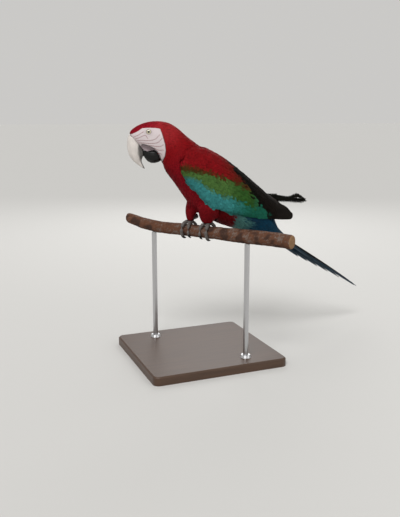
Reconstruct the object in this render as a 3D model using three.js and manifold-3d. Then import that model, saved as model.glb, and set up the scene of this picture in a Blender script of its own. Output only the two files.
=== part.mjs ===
// A green-winged macaw gripping a cut length of branch, on a plain display stand.
// Millimetres, +Z up. The floor is z = 0, the bird faces -X and its left side is -Y.
// "ahead" is a distance forward of the perch's axis, so ahead = -x where nothing is turned.
import * as THREE from "three";
import { mergeVertices } from "three/addons/utils/BufferGeometryUtils.js";
import Module from "manifold-3d";

const wasm = await Module();
wasm.setup();

// ---- driving dimensions ----
const GAP = 0.35; // between pieces that touch
const FINENESS = 0.06; // how far a face may lie off the worked-out surface
const UP = new THREE.Vector3(0, 0, 1);

const NECK_PIVOT = 45; // ahead of the perch, where the neck turns
const HEAD_TURN = THREE.MathUtils.degToRad(22); // to the bird's right
const BODY_SQUARENESS = 2.15; // exponent of the sections, 2 is an ellipse

const PERCH_HEIGHT = 300;
const PERCH_RADIUS = 15.5;
const PERCH_TURN = THREE.MathUtils.degToRad(34); // off the crosswise line
const FOOT_SPREAD = 25; // from the middle of the perch to each foot

const BASE_LENGTH = 320;
const BASE_WIDTH = 300;
const BASE_THICKNESS = 20;
const BASE_CORNER = 14;
const ROD_RADIUS = 6;
const ROD_SPREAD = 130; // from the middle of the perch to each rod
const COLLAR_RADIUS = 13;
const COLLAR_THICKNESS = 6;

const EYE_RADIUS = 9.2;
const EYE_AHEAD = 110.5;
const EYE_HEIGHT = 526;
const EYE_APART = 21.5; // from the middle of the head to the middle of an eyeball

const TAIL_PITCH = THREE.MathUtils.degToRad(29);
const TAIL_TURN = THREE.MathUtils.degToRad(15); // to the bird's right
const TAIL_ROOT = { ahead: -150, height: 313 };
const TAIL_LONGEST = 430;
const TAIL_SHORTEST = 205;
const TAIL_PAIRS = 6;
const TAIL_FEATHER_WIDTH = 29;
const TAIL_FEATHER_THICKNESS = 3.2;
const TAIL_STEP = 1.4; // each pair of feathers lies this far under the pair above it

const WING_DEPTH = 9; // of the folded wing's shell
const WINGTIP_DEPTH = 4;
const WING_REACH = 120; // sideways, past the widest place
const TIP_CUT = { x: 160, height: 345 }; // where the flight feathers' tips are parted off

const RED = 0xa81420;
const DARK_RED = 0x7d1020;
const GREEN = 0x4f8a3c;
const BLUE = 0x1c7c9c;
const DARK_BLUE = 0x123f63;
const SLATE = 0x1b1c1d;
const FOOT_GREY = 0x4c4a48;
const HORN = 0xd9cfbd;
const BARK = 0x6f4a3a;
const STAND_WOOD = 0x4a3527;
const STAND_STEEL = 0x8d9093;
const EYE_COLOUR = 0x1a1612;

// ---- solids ----
function solid(geometry) {
  const bare = geometry.clone();
  bare.deleteAttribute("normal");
  bare.deleteAttribute("uv");
  const merged = mergeVertices(bare, 1e-4);
  const vertProperties = new Float32Array(merged.attributes.position.array);
  const triVerts = new Uint32Array(merged.index.array);
  const make = () => new wasm.Manifold(new wasm.Mesh({ numProp: 3, vertProperties, triVerts }));
  const made = make();
  if (made.volume() > 0) return made;
  for (let i = 0; i < triVerts.length; i += 3) {
    [triVerts[i + 1], triVerts[i + 2]] = [triVerts[i + 2], triVerts[i + 1]];
  }
  return make();
}

function meshOf(name, body, color, roughness = 0.8, metalness = 0) {
  const { numProp, vertProperties, triVerts } = body.simplify(FINENESS).getMesh();
  const positions = new Float32Array((vertProperties.length / numProp) * 3);
  for (let i = 0; i < positions.length / 3; i += 1) {
    for (let k = 0; k < 3; k += 1) positions[i * 3 + k] = vertProperties[i * numProp + k];
  }
  const geometry = new THREE.BufferGeometry();
  geometry.setAttribute("position", new THREE.BufferAttribute(positions, 3));
  geometry.setIndex(Array.from(triVerts));
  geometry.computeVertexNormals();
  const material = new THREE.MeshStandardMaterial({ color, roughness, metalness });
  const mesh = new THREE.Mesh(geometry, material);
  mesh.name = name;
  return mesh;
}

// A closed tube through the stations. A station has a middle "at" and the two half axes
// "side" and "up" of its section; "grow" widens and lengthens it, for clearance cuts.
function loft(stations, { around = 20, along = 20, grow = 0, squareness = 2 } = {}) {
  const through = (key) =>
    new THREE.CatmullRomCurve3(stations.map((s) => s[key]), false, "catmullrom", 0.5);
  const [middles, sides, ups] = [through("at"), through("side"), through("up")];
  const geometry = new THREE.CylinderGeometry(1, 1, 1, around, along);
  const positions = geometry.attributes.position;
  const place = new THREE.Vector3();
  for (let i = 0; i < positions.count; i += 1) {
    const [across, y, over] = [positions.getX(i), positions.getY(i), positions.getZ(i)];
    const t = THREE.MathUtils.clamp(0.5 - y, 0, 1);
    const reach = Math.hypot(across, over);
    const angle = Math.atan2(over, across);
    const [c, s] = [Math.cos(angle), Math.sin(angle)];
    const bulge = (Math.abs(c) ** squareness + Math.abs(s) ** squareness) ** (-1 / squareness);
    const [side, up] = [sides.getPoint(t), ups.getPoint(t)];
    side.setLength(side.length() + grow);
    up.setLength(up.length() + grow);
    place.copy(middles.getPoint(t));
    if (t === 0 || t === 1) place.addScaledVector(middles.getTangent(t), t ? grow : -grow);
    place.addScaledVector(side, reach * bulge * c).addScaledVector(up, reach * bulge * s);
    positions.setXYZ(i, place.x, place.y, place.z);
  }
  return solid(geometry);
}

// A tube of round sections through points, with a radius at each.
function roundLoft(points, radii, options = {}) {
  const stations = points.map((at, i) => {
    const from = points[Math.max(i - 1, 0)];
    const to = points[Math.min(i + 1, points.length - 1)];
    const heading = to.clone().sub(from).normalize();
    const flat = Math.abs(heading.z) > 0.95 ? new THREE.Vector3(1, 0, 0) : UP;
    const side = heading.clone().cross(flat).normalize();
    const up = side.clone().cross(heading).normalize();
    return { at, side: side.multiplyScalar(radii[i]), up: up.multiplyScalar(radii[i]) };
  });
  return loft(stations, options);
}

function joined(solids) {
  return solids.reduce((all, next) => all.add(next));
}

// The stretch of a solid between two cutting planes, each "at" a point with a normal.
function between(body, from, to) {
  let rest = body;
  if (from) {
    rest = rest.trimByPlane(from.normal.toArray(), from.normal.dot(from.at) + GAP / 2);
  }
  if (to) {
    const back = to.normal.clone().negate();
    rest = rest.trimByPlane(back.toArray(), back.dot(to.at) + GAP / 2);
  }
  return rest;
}

// ---- places on the bird ----
const heading = (turn) => new THREE.Vector3(-Math.cos(turn), Math.sin(turn), 0);
const leftward = (turn) => UP.clone().cross(heading(turn));

function place(ahead, height, left = 0, turn = 0) {
  const at = new THREE.Vector3(-NECK_PIVOT, 0, height);
  at.addScaledVector(heading(turn), ahead - NECK_PIVOT);
  return at.addScaledVector(leftward(turn), left);
}

// A section of the body from its top and bottom in side view, and its half width.
function section(top, bottom, halfWidth, turn = 0) {
  const high = place(top[0], top[1], 0, turn);
  const low = place(bottom[0], bottom[1], 0, turn);
  return {
    at: high.clone().add(low).multiplyScalar(0.5),
    up: high.clone().sub(low).multiplyScalar(0.5),
    side: leftward(turn).multiplyScalar(halfWidth),
  };
}

// The tail swings away from the body's middle, so its sections follow an axis of its own.
const tailBack = heading(-TAIL_TURN).negate();
const tailLeft = leftward(-TAIL_TURN);
const tailAxis = tailBack.clone().multiplyScalar(Math.cos(TAIL_PITCH));
tailAxis.addScaledVector(UP, -Math.sin(TAIL_PITCH));
const tailTop = tailLeft.clone().cross(tailAxis);
const tailRoot = place(TAIL_ROOT.ahead, TAIL_ROOT.height);

function alongTail(distance, drop, halfDepth, halfWidth) {
  return {
    at: tailRoot.clone().addScaledVector(tailAxis, distance).addScaledVector(tailTop, -drop),
    up: tailTop.clone().multiplyScalar(halfDepth),
    side: tailLeft.clone().multiplyScalar(halfWidth),
  };
}

// ---- body: coverts of the tail, trunk, neck and head in one loft, parted by thin cuts ----
const tailSections = [
  alongTail(126, 3.5, 7, 19),
  alongTail(96, 3.5, 11, 23),
  alongTail(66, 6, 19, 27),
  alongTail(40, 9, 29, 36),
];
const trunkSections = [
  section([-186, 339], [-130, 285], 44),
  section([-160, 372], [-95, 299], 52),
  section([-128, 402], [-58, 312], 58),
  section([-90, 434], [-18, 331], 61),
  section([-54, 462], [20, 362], 62),
  section([-16, 483], [46, 400], 60),
];
const neckSections = [
  section([14, 505], [66, 425], 53, HEAD_TURN * 0.2),
  section([30, 517], [77, 440], 44, HEAD_TURN * 0.7),
];
const headSections = [
  section([43, 529], [81, 450], 38, HEAD_TURN),
  section([57.5, 540], [84, 458], 35, HEAD_TURN),
  section([73, 547], [90, 463], 33.5, HEAD_TURN),
  section([90, 549.5], [98, 466], 32, HEAD_TURN),
  section([107, 549], [108, 471], 30.5, HEAD_TURN),
  section([124, 545.5], [119, 480], 28.5, HEAD_TURN),
  section([140, 538.5], [130, 490], 25, HEAD_TURN),
  section([152, 530], [141, 500], 19, HEAD_TURN),
  section([157, 522], [150, 510], 10, HEAD_TURN),
];
const bodySections = [...tailSections, ...trunkSections, ...neckSections, ...headSections];
const bodyLoft = (grow = 0) =>
  loft(bodySections, { around: 20, along: 30, grow, squareness: BODY_SQUARENESS });

function cutAcross(before, after) {
  const at = before.at.clone().add(after.at).multiplyScalar(0.5);
  return { at, normal: after.at.clone().sub(before.at).normalize() };
}

const covertsCut = cutAcross(tailSections.at(-1), trunkSections[0]);
const neckCut = cutAcross(trunkSections.at(-1), neckSections[0]);
const headCut = cutAcross(neckSections[1], headSections[0]);

// ---- bill ----
const upperBillSections = [
  section([157.5, 521], [128, 500], 16.5, HEAD_TURN),
  section([161.5, 507], [126, 493], 17.5, HEAD_TURN),
  section([162, 492], [125, 484], 16.5, HEAD_TURN),
  section([158.5, 476], [124.5, 475], 14, HEAD_TURN),
  section([150.5, 463.5], [129.5, 467], 10, HEAD_TURN),
  section([139.5, 454], [130, 459], 6, HEAD_TURN),
  section([124, 444], [123.5, 446], 1.2, HEAD_TURN),
];
const lowerBillSections = [
  section([88.5, 487], [86.5, 463], 16, HEAD_TURN),
  section([96.5, 490], [96.5, 458], 20.5, HEAD_TURN),
  section([107.5, 490], [109.5, 457.5], 19.5, HEAD_TURN),
  section([117.5, 489], [119.5, 464], 15.5, HEAD_TURN),
  section([124.5, 485], [126, 475], 11, HEAD_TURN),
];
const upperBillLoft = (grow = 0) =>
  loft(upperBillSections, { around: 12, along: 10, grow, squareness: 2.1 });
const lowerBillLoft = (grow = 0) =>
  loft(lowerBillSections, { around: 12, along: 6, grow, squareness: 2.5 });

function eyeball(side, grow = 0) {
  const at = place(EYE_AHEAD, EYE_HEIGHT, side * EYE_APART, HEAD_TURN);
  const geometry = new THREE.SphereGeometry(EYE_RADIUS + grow, 12, 7);
  return solid(geometry.translate(at.x, at.y, at.z));
}

// ---- wings: a folded shell over the trunk, cut to the wing's outline in side view ----
const mantleSections = [
  section([78, 500], [102, 424], 48),
  section([45, 510], [86, 418], 61),
  section([12, 502], [68, 401], 68),
  section([-16, 492], [51, 389], 71),
  section([-54, 472], [26, 352], 71),
  section([-90, 446], [-18, 322], 69),
  section([-126, 418], [-60, 306], 64),
  section([-162, 389], [-105, 297], 55),
  section([-188, 367], [-150, 292], 46),
  section([-215, 352], [-190, 288], 35),
  section([-242, 345], [-230, 284], 25),
  section([-256, 342], [-246, 284], 21),
];
const mantleLoft = (grow = 0) => loft(mantleSections, { around: 20, along: 16, grow });

const wingLowerEdge = [
  [-66, 463],
  [-58, 432],
  [-18, 390],
  [15, 361],
  [62, 346],
  [112, 337],
  [155, 330],
];
const wingTipEnd = [
  [238, 321],
  [226, 350],
];
const wingUpperEdge = [
  [190, 380],
  [123, 432],
  [50, 484],
  [-5, 506],
  [-48, 490],
];

function wingPrism(side) {
  const toPoint = ([x, z]) => new THREE.Vector2(x, z);
  const outline = new THREE.Shape();
  outline.moveTo(...wingLowerEdge[0]);
  outline.splineThru(wingLowerEdge.slice(1).map(toPoint));
  for (const corner of wingTipEnd) outline.lineTo(...corner);
  outline.splineThru(wingUpperEdge.map(toPoint));
  outline.closePath();
  const options = { depth: WING_REACH, bevelEnabled: false, curveSegments: 2 };
  const prism = new THREE.ExtrudeGeometry(outline, options).rotateX(Math.PI / 2);
  return solid(side > 0 ? prism : prism.translate(0, WING_REACH, 0));
}

// The inner edge of a folded wing closes towards the middle as it runs back.
const INNER_EDGE = { frontX: -45, frontY: 28, backX: 135, backY: 1.5 };

function innerEdgePlane(side) {
  const front = new THREE.Vector3(INNER_EDGE.frontX, -side * INNER_EDGE.frontY, 0);
  const back = new THREE.Vector3(INNER_EDGE.backX, -side * INNER_EDGE.backY, 0);
  const normal = back.clone().sub(front).cross(UP).normalize();
  if (normal.y * side > 0) normal.negate();
  return { at: front, normal };
}

function middlePlane(side) {
  return { at: new THREE.Vector3(0, -side * 1.2, 0), normal: new THREE.Vector3(0, -side, 0) };
}

const tipNormal = new THREE.Vector3(Math.cos(0.4), 0, -Math.sin(0.4));
const tipCut = { at: new THREE.Vector3(TIP_CUT.x, 0, TIP_CUT.height), normal: tipNormal };

function foldedWing(side, depth) {
  const shell = mantleLoft().subtract(mantleLoft(-depth));
  const cut = shell.intersect(wingPrism(side)).subtract(bodyLoft(GAP));
  return between(between(cut, innerEdgePlane(side)), middlePlane(side));
}

// A flat feather: a thin blade along a path, with its width across the path.
function blade(path, widths, thickness, widthAxis) {
  const stations = path.map((at, i) => {
    const from = path[Math.max(i - 1, 0)];
    const to = path[Math.min(i + 1, path.length - 1)];
    const along = to.clone().sub(from).normalize();
    const side = widthAxis.clone().addScaledVector(along, -widthAxis.dot(along)).normalize();
    const up = side.clone().cross(along).normalize();
    return {
      at,
      side: side.multiplyScalar(widths[i] / 2),
      up: up.multiplyScalar(thickness / 2),
    };
  });
  return loft(stations, { around: 6, along: path.length - 1 });
}

// The far wing's long flight feathers are frayed: they lift and curl past the fold.
const CURLED_TIPS = [
  {
    path: [
      [150, 20, 372], [178, 16.5, 368], [205, 13.5, 365.5],
      [233, 11, 362.5], [268, 8, 358.5], [285, 6, 358.5],
    ],
    widths: [10, 16, 15, 11, 9, 4],
  },
  {
    path: [
      [150, 17.4, 374], [180, 14.5, 370], [208, 12, 367.5],
      [240, 9.5, 364], [262, 7.5, 369.5], [283, 5.5, 361],
    ],
    widths: [10, 14, 13, 9, 7, 4],
  },
  {
    path: [[150, 14.8, 376], [170, 13, 373.5], [190, 11, 373], [207, 9.5, 374.5]],
    widths: [10, 12, 9, 4],
  },
];

function curledTips() {
  const blades = CURLED_TIPS.map(({ path, widths }) => {
    const places = path.map((at) => new THREE.Vector3(...at));
    return blade(places, widths, 2.4, new THREE.Vector3(0, 0.5, 0.87));
  });
  return joined(blades);
}

// ---- tail: graduated feathers, the middle pair longest and on top ----
const TAIL_WIDTHS = [0.45, 0.9, 1, 0.96, 0.72, 0.14];

function tailFeather(rank, side) {
  const share = rank / (TAIL_PAIRS - 1);
  const length = THREE.MathUtils.lerp(TAIL_LONGEST, TAIL_SHORTEST, share ** 0.8);
  const splay = 0.004 + 0.014 * rank;
  const path = TAIL_WIDTHS.map((_, i) => {
    const t = i / (TAIL_WIDTHS.length - 1);
    const at = tailRoot.clone().addScaledVector(tailAxis, length * t);
    at.addScaledVector(tailTop, -rank * TAIL_STEP - 7 * t * t);
    return at.addScaledVector(tailLeft, side * (2.5 + 2.1 * rank + length * t * splay));
  });
  const widths = TAIL_WIDTHS.map((w) => w * TAIL_FEATHER_WIDTH);
  return blade(path, widths, TAIL_FEATHER_THICKNESS, tailLeft);
}

function tail() {
  const feathers = [];
  for (let rank = 0; rank < TAIL_PAIRS; rank += 1) {
    feathers.push(tailFeather(rank, 1), tailFeather(rank, -1));
  }
  return joined(feathers).subtract(bodyLoft(GAP));
}

// ---- perch ----
const perchAlong = new THREE.Vector3(-Math.sin(PERCH_TURN), Math.cos(PERCH_TURN), 0);
const perchAhead = perchAlong.clone().cross(UP).negate();
const PERCH_STATIONS = [
  { along: -240, rise: -1, radius: 15 },
  { along: -235, rise: -1, radius: 17 },
  { along: -190, rise: 1, radius: 16.6 },
  { along: -120, rise: 0, radius: 17.4 },
  { along: -60, rise: 0, radius: PERCH_RADIUS },
  { along: 0, rise: 0, radius: PERCH_RADIUS },
  { along: 60, rise: 0, radius: PERCH_RADIUS },
  { along: 100, rise: -1, radius: 14.8 },
  { along: 150, rise: 2, radius: 15.2 },
  { along: 204, rise: 13, radius: 13.6 },
  { along: 210, rise: 14.5, radius: 12 },
];

function perchPoint(along, rise = 0) {
  return perchAlong.clone().multiplyScalar(along).setZ(PERCH_HEIGHT + rise);
}

function perch(grow = 0) {
  const stations = PERCH_STATIONS.map(({ along, rise, radius }) => ({
    at: perchPoint(along, rise),
    side: perchAhead.clone().multiplyScalar(radius),
    up: UP.clone().multiplyScalar(radius),
  }));
  return loft(stations, { around: 12, along: 12, grow });
}

// ---- legs ----
// A place beside the perch's surface: "turn" is 0 on top and grows towards the bird's front.
function roundPerch(along, turn, clear) {
  const out = perchAhead.clone().multiplyScalar(Math.sin(turn)).addScaledVector(UP, Math.cos(turn));
  return perchPoint(along).addScaledVector(out, PERCH_RADIUS + clear);
}

// Two toes point ahead and two back; "inward" toes are those nearer the other foot.
const TOES = [
  { name: "front_inner", spread: -9, turn: 1.95, radius: 4.9 },
  { name: "front_outer", spread: 9, turn: 2.3, radius: 5.3 },
  { name: "back_outer", spread: 8, turn: -1.95, radius: 5.1 },
  { name: "back_inner", spread: -7, turn: -1.45, radius: 4.4 },
];
const TOE_TAPER = 0.74;
const CLAW_SWEEP = 0.8;
const CLAW_TAPER = [0.86, 0.8, 0.66, 0.44, 0.14];

function toePath(outward, foot, toe, from, to, clearFrom, clearTo, steps) {
  const points = [];
  for (let i = 0; i <= steps; i += 1) {
    const t = THREE.MathUtils.lerp(from, to, i / steps);
    const fan = Math.min(1, Math.abs(t) / 0.9);
    const along = outward * (foot + toe.spread * (0.35 + 0.65 * fan));
    points.push(roundPerch(along, t, THREE.MathUtils.lerp(clearFrom, clearTo, i / steps)));
  }
  return points;
}

// The cut between a toe and its claw.
function clawCut(outward, toe) {
  const clear = toe.radius * TOE_TAPER;
  const before = toe.turn - Math.sign(toe.turn) * 0.05;
  const [from, at] = toePath(outward, FOOT_SPREAD, toe, before, toe.turn, clear, clear, 1);
  return { at, normal: at.clone().sub(from).normalize() };
}

function toeSolid(outward, toe) {
  const start = -0.25 * Math.sign(toe.turn);
  const stop = toe.turn + Math.sign(toe.turn) * 0.06;
  const end = toe.radius * TOE_TAPER;
  const clear = [toe.radius + 1, end + 0.8];
  const points = toePath(outward, FOOT_SPREAD, toe, start, stop, ...clear, 8);
  const radii = points.map((_, i) => THREE.MathUtils.lerp(toe.radius, end, i / 8));
  const whole = roundLoft(points, radii, { around: 6, along: 6 });
  return between(whole, null, clawCut(outward, toe));
}

function clawSolid(outward, toe) {
  const sign = Math.sign(toe.turn);
  const start = toe.turn - sign * 0.06;
  const base = toe.radius * TOE_TAPER;
  const end = toe.turn + sign * CLAW_SWEEP;
  const points = toePath(outward, FOOT_SPREAD, toe, start, end, base + 0.4, 2.2, 4);
  const radii = CLAW_TAPER.map((k) => k * base);
  const whole = roundLoft(points, radii, { around: 7, along: 5 });
  return between(whole, clawCut(outward, toe));
}

const shin = (outward) => [
  roundPerch(outward * FOOT_SPREAD, -0.05, 5),
  roundPerch(outward * FOOT_SPREAD, -0.3, 13),
  roundPerch(outward * FOOT_SPREAD, -0.75, 26),
];

const THIGHS = {
  left: [
    { at: [13, 21], height: 321, half: [11, 10] },
    { at: [13, 23], height: 330, half: [17, 15] },
    { at: [13, 27], height: 345, half: [23, 21] },
    { at: [20, 31], height: 366, half: [33, 26] },
    { at: [26, 32], height: 392, half: [36, 26] },
  ],
  right: [
    { at: [-13, -20], height: 322, half: [7, 7] },
    { at: [-12, -22], height: 331, half: [10, 10] },
    { at: [-6, -26], height: 346, half: [16, 17] },
    { at: [12, -31], height: 366, half: [28, 25] },
    { at: [24, -32], height: 392, half: [34, 26] },
  ],
};

function thighLoft(sideName, grow = 0) {
  const stations = THIGHS[sideName].map(({ at, height, half }) => ({
    at: new THREE.Vector3(at[0], -at[1], height),
    side: new THREE.Vector3(0, half[1], 0),
    up: new THREE.Vector3(half[0], 0, 0),
  }));
  return loft(stations, { around: 14, along: 8, grow });
}

function footSolid(sideName, outward) {
  const toes = TOES.map((toe) => toeSolid(outward, toe));
  const leg = roundLoft(shin(outward), [6.8, 6.2, 6.8], { around: 8, along: 3 });
  const padAt = roundPerch(outward * FOOT_SPREAD, 0, 5.5);
  const pad = new THREE.SphereGeometry(1, 8, 5);
  pad.scale(9, 9, 5.6).translate(padAt.x, padAt.y, padAt.z);
  const whole = joined([...toes, leg, solid(pad)]);
  return whole.subtract(perch(GAP)).subtract(thighLoft(sideName, GAP)).subtract(bodyLoft(GAP));
}

// ---- stand ----
function standBase() {
  const half = { x: BASE_LENGTH / 2, y: BASE_WIDTH / 2 };
  const outline = new THREE.Shape();
  outline.moveTo(-half.x + BASE_CORNER, -half.y);
  const corners = [
    [half.x - BASE_CORNER, -half.y + BASE_CORNER, -Math.PI / 2, 0],
    [half.x - BASE_CORNER, half.y - BASE_CORNER, 0, Math.PI / 2],
    [-half.x + BASE_CORNER, half.y - BASE_CORNER, Math.PI / 2, Math.PI],
    [-half.x + BASE_CORNER, -half.y + BASE_CORNER, Math.PI, Math.PI * 1.5],
  ];
  for (const [x, y, from, to] of corners) outline.absarc(x, y, BASE_CORNER, from, to, false);
  outline.closePath();
  const bevel = 3;
  const geometry = new THREE.ExtrudeGeometry(outline, {
    depth: BASE_THICKNESS - bevel,
    bevelThickness: bevel,
    bevelSize: bevel,
    bevelOffset: -bevel,
    bevelSegments: 1,
    curveSegments: 3,
  });
  const body = solid(geometry);
  return body.trimByPlane([0, 0, 1], 0);
}

function rod(along) {
  const foot = perchPoint(along);
  const low = BASE_THICKNESS + COLLAR_THICKNESS + GAP * 2;
  const geometry = new THREE.CylinderGeometry(ROD_RADIUS, ROD_RADIUS, PERCH_HEIGHT - low, 16);
  geometry.rotateX(Math.PI / 2).translate(foot.x, foot.y, (PERCH_HEIGHT + low) / 2);
  return solid(geometry).subtract(perch(GAP));
}

function collar(along) {
  const foot = perchPoint(along);
  const radii = [COLLAR_RADIUS * 0.8, COLLAR_RADIUS];
  const geometry = new THREE.CylinderGeometry(...radii, COLLAR_THICKNESS, 18);
  const height = BASE_THICKNESS + GAP + COLLAR_THICKNESS / 2;
  return solid(geometry.rotateX(Math.PI / 2).translate(foot.x, foot.y, height));
}

// ---- assembly ----
const macaw = new THREE.Group();
const add = (...args) => macaw.add(meshOf(...args));

const body = bodyLoft();
const bills = upperBillLoft(GAP).add(lowerBillLoft(GAP));
const eyes = eyeball(1, GAP).add(eyeball(-1, GAP));
add("head", between(body, headCut).subtract(bills).subtract(eyes), RED);
add("neck", between(body, neckCut, headCut), RED);
add("trunk", between(body, covertsCut, neckCut), RED);
add("tail_coverts", between(body, null, covertsCut), BLUE);
add("upper_bill", upperBillLoft().subtract(lowerBillLoft(GAP)), HORN, 0.4);
add("lower_bill", lowerBillLoft(), SLATE, 0.4);
add("eye_left", eyeball(1), EYE_COLOUR, 0.1);
add("eye_right", eyeball(-1), EYE_COLOUR, 0.1);

for (const [sideName, side] of [["left", 1], ["right", -1]]) {
  const wing = foldedWing(side, WING_DEPTH).subtract(thighLoft(sideName, GAP));
  add("wing_" + sideName, between(wing, null, tipCut), GREEN);
  let tips = between(foldedWing(side, WINGTIP_DEPTH), tipCut);
  if (sideName === "right") tips = tips.add(between(curledTips(), tipCut).subtract(bodyLoft(GAP)));
  add("wingtip_" + sideName, tips, SLATE);
  const thigh = thighLoft(sideName).subtract(bodyLoft(GAP)).subtract(perch(GAP));
  add("thigh_" + sideName, thigh, DARK_RED);
  const outward = -side;
  add("foot_" + sideName, footSolid(sideName, outward), FOOT_GREY);
  for (const toe of TOES) {
    const claw = clawSolid(outward, toe).subtract(perch(GAP));
    add("claw_" + toe.name + "_" + sideName, claw, SLATE, 0.45);
  }
}

add("tail", tail(), DARK_BLUE);
add("perch", perch(), BARK, 0.9);
[["near", -1], ["far", 1]].forEach(([end, sign]) => {
  add("stand_rod_" + end, rod(sign * ROD_SPREAD), STAND_STEEL, 0.35, 1);
  add("stand_collar_" + end, collar(sign * ROD_SPREAD), STAND_STEEL, 0.35, 1);
});
add("stand_base", standBase(), STAND_WOOD, 0.6);

export default macaw;
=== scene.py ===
"""Looks of a green-winged macaw on a cut branch and a display stand.

Metres, +Z up, the bird faces -X and its left side is -Y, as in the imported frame.
The CAD solids give the outside of the plumage. A skin lies inside them by the coat's depth,
and feather vanes lie over the skin, out to where the solids reach.
"""

import math

import bmesh
import bpy
import numpy as np
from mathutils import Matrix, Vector
from mathutils.bvhtree import BVHTree


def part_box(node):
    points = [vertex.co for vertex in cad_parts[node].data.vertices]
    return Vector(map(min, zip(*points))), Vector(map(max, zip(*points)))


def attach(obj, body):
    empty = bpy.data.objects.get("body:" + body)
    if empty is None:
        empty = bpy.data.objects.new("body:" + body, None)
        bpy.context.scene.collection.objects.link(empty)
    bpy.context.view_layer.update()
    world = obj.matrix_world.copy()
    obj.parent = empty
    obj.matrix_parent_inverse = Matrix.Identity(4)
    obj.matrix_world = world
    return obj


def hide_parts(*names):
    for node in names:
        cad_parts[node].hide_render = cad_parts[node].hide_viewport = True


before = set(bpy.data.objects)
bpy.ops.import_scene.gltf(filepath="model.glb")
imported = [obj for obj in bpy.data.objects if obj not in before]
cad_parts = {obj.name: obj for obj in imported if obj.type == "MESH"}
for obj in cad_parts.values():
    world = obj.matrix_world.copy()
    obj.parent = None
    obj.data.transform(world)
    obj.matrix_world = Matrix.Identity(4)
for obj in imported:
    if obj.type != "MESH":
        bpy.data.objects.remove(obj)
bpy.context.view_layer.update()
MM = 0.001

# ---- the bird's plan, as the solids have it ----
NECK_PIVOT = 45 * MM  # ahead of the perch, where the neck turns
HEAD_TURN = math.radians(22)  # to the bird's right
TAIL_PITCH = math.radians(29)
TAIL_TURN = math.radians(15)
TAIL_ROOT = np.array([0.150, 0, 0.313])
PERCH_TURN = math.radians(34)
PERCH_HEIGHT = 300 * MM
PERCH_WAY = np.array([-math.sin(PERCH_TURN), math.cos(PERCH_TURN), 0])

FLESH = ["head", "neck", "trunk", "tail_coverts", "wing_left", "wing_right"]
FLESH += ["thigh_left", "thigh_right"]
EYES = ["eye_left", "eye_right"]
SIDES = {"left": -1, "right": 1}
MIRROR = np.array([1, -1, 1])


# ---- small sums ----
def unit(vectors):
    return vectors / np.maximum(np.linalg.norm(vectors, axis=-1, keepdims=True), 1e-12)


def dot(a, b):
    return np.sum(a * b, axis=-1, keepdims=True)


def smoothstep(low, high, value):
    share = np.clip((value - low) / (high - low), 0, 1)
    return share * share * (3 - 2 * share)


def mix(first, second, share):
    share = np.asarray(share, float)[..., None]
    return np.asarray(first) * (1 - share) + np.asarray(second) * share


def between(*pairs):
    """A function that runs straight between (place, value) pairs."""
    places, values = zip(*pairs)
    return lambda at: np.interp(at, places, values)


def all_of(colour):
    """A function that gives one colour for every point."""
    return lambda points: np.tile(colour, (len(points), 1))


def evenly(gap):
    """A function that gives one gap for every place."""
    return lambda places: np.full(len(places), gap)


def turned(ways, normals, angles):
    """Ways turned about the normals they stand square to."""
    angles = np.asarray(angles)[..., None]
    return ways * np.cos(angles) + np.cross(normals, ways) * np.sin(angles)


def flat(mesh_items, name, width, kind=float):
    values = np.empty(len(mesh_items) * width, kind)
    mesh_items.foreach_get(name, values)
    return values.reshape(-1, width) if width > 1 else values


def noise_field(points, size, seed):
    """A smooth random value from -1 to 1 at each point, with bumps of about that size."""
    rng = np.random.default_rng(seed)
    total = np.zeros(points.shape[:-1])
    for _ in range(5):
        wave = unit(rng.normal(size=3)) * (2 * math.pi / size) * rng.uniform(0.5, 1.2)
        total += np.sin(points @ wave + rng.uniform(0, 6.28))
    return np.clip(total / 2.6, -1, 1)


HEAD_AHEAD = np.array([-math.cos(HEAD_TURN), math.sin(HEAD_TURN), 0])
HEAD_LEFT = np.array([-HEAD_AHEAD[1], HEAD_AHEAD[0], 0])


def head_place(ahead, height, left=0.0):
    """A place given along the turned head: ahead of the perch, above the floor, to its left."""
    pivot = np.array([-NECK_PIVOT, 0, height])
    return pivot + HEAD_AHEAD * (ahead - NECK_PIVOT) + HEAD_LEFT * left


def head_sight(points):
    """The head's own coordinates of points: ahead, height and left."""
    offset = points - np.array([-NECK_PIVOT, 0, 0])
    return offset @ HEAD_AHEAD + NECK_PIVOT, points[..., 2], offset @ HEAD_LEFT


# ---- meshes ----
def shown(name, mesh, material=None):
    piece = bpy.data.objects.new(name, mesh)
    bpy.context.scene.collection.objects.link(piece)
    if material:
        mesh.materials.append(material)
    return piece


def mesh_of(name, points, face_groups):
    """A smooth-shaded mesh from points and arrays of faces, each array with one corner count."""
    mesh = bpy.data.meshes.new(name)
    corners = np.concatenate([group.ravel() for group in face_groups]).astype(np.int32)
    totals = np.concatenate([np.full(len(g), g.shape[1]) for g in face_groups]).astype(np.int32)
    starts = np.concatenate([[0], np.cumsum(totals)[:-1]]).astype(np.int32)
    mesh.vertices.add(len(points))
    mesh.vertices.foreach_set("co", np.asarray(points, np.float32).ravel())
    mesh.loops.add(len(corners))
    mesh.loops.foreach_set("vertex_index", corners)
    mesh.polygons.add(len(totals))
    mesh.polygons.foreach_set("loop_start", starts)
    mesh.polygons.foreach_set("use_smooth", np.ones(len(totals), bool))
    mesh.update(calc_edges=True)
    return mesh


def set_colours(mesh, name, colours):
    layer = mesh.attributes.new(name, "FLOAT_COLOR", "POINT")
    rgba = np.ones((len(mesh.vertices), 4), np.float32)
    rgba[:, :3] = colours
    layer.data.foreach_set("color", rgba.ravel())


def set_map(mesh, name, places):
    """A UV map from one place for each vertex."""
    corners = flat(mesh.loops, "vertex_index", 1, np.int32)
    layer = mesh.uv_layers.new(name=name)
    layer.data.foreach_set("uv", places[corners].astype(np.float32).ravel())


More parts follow.
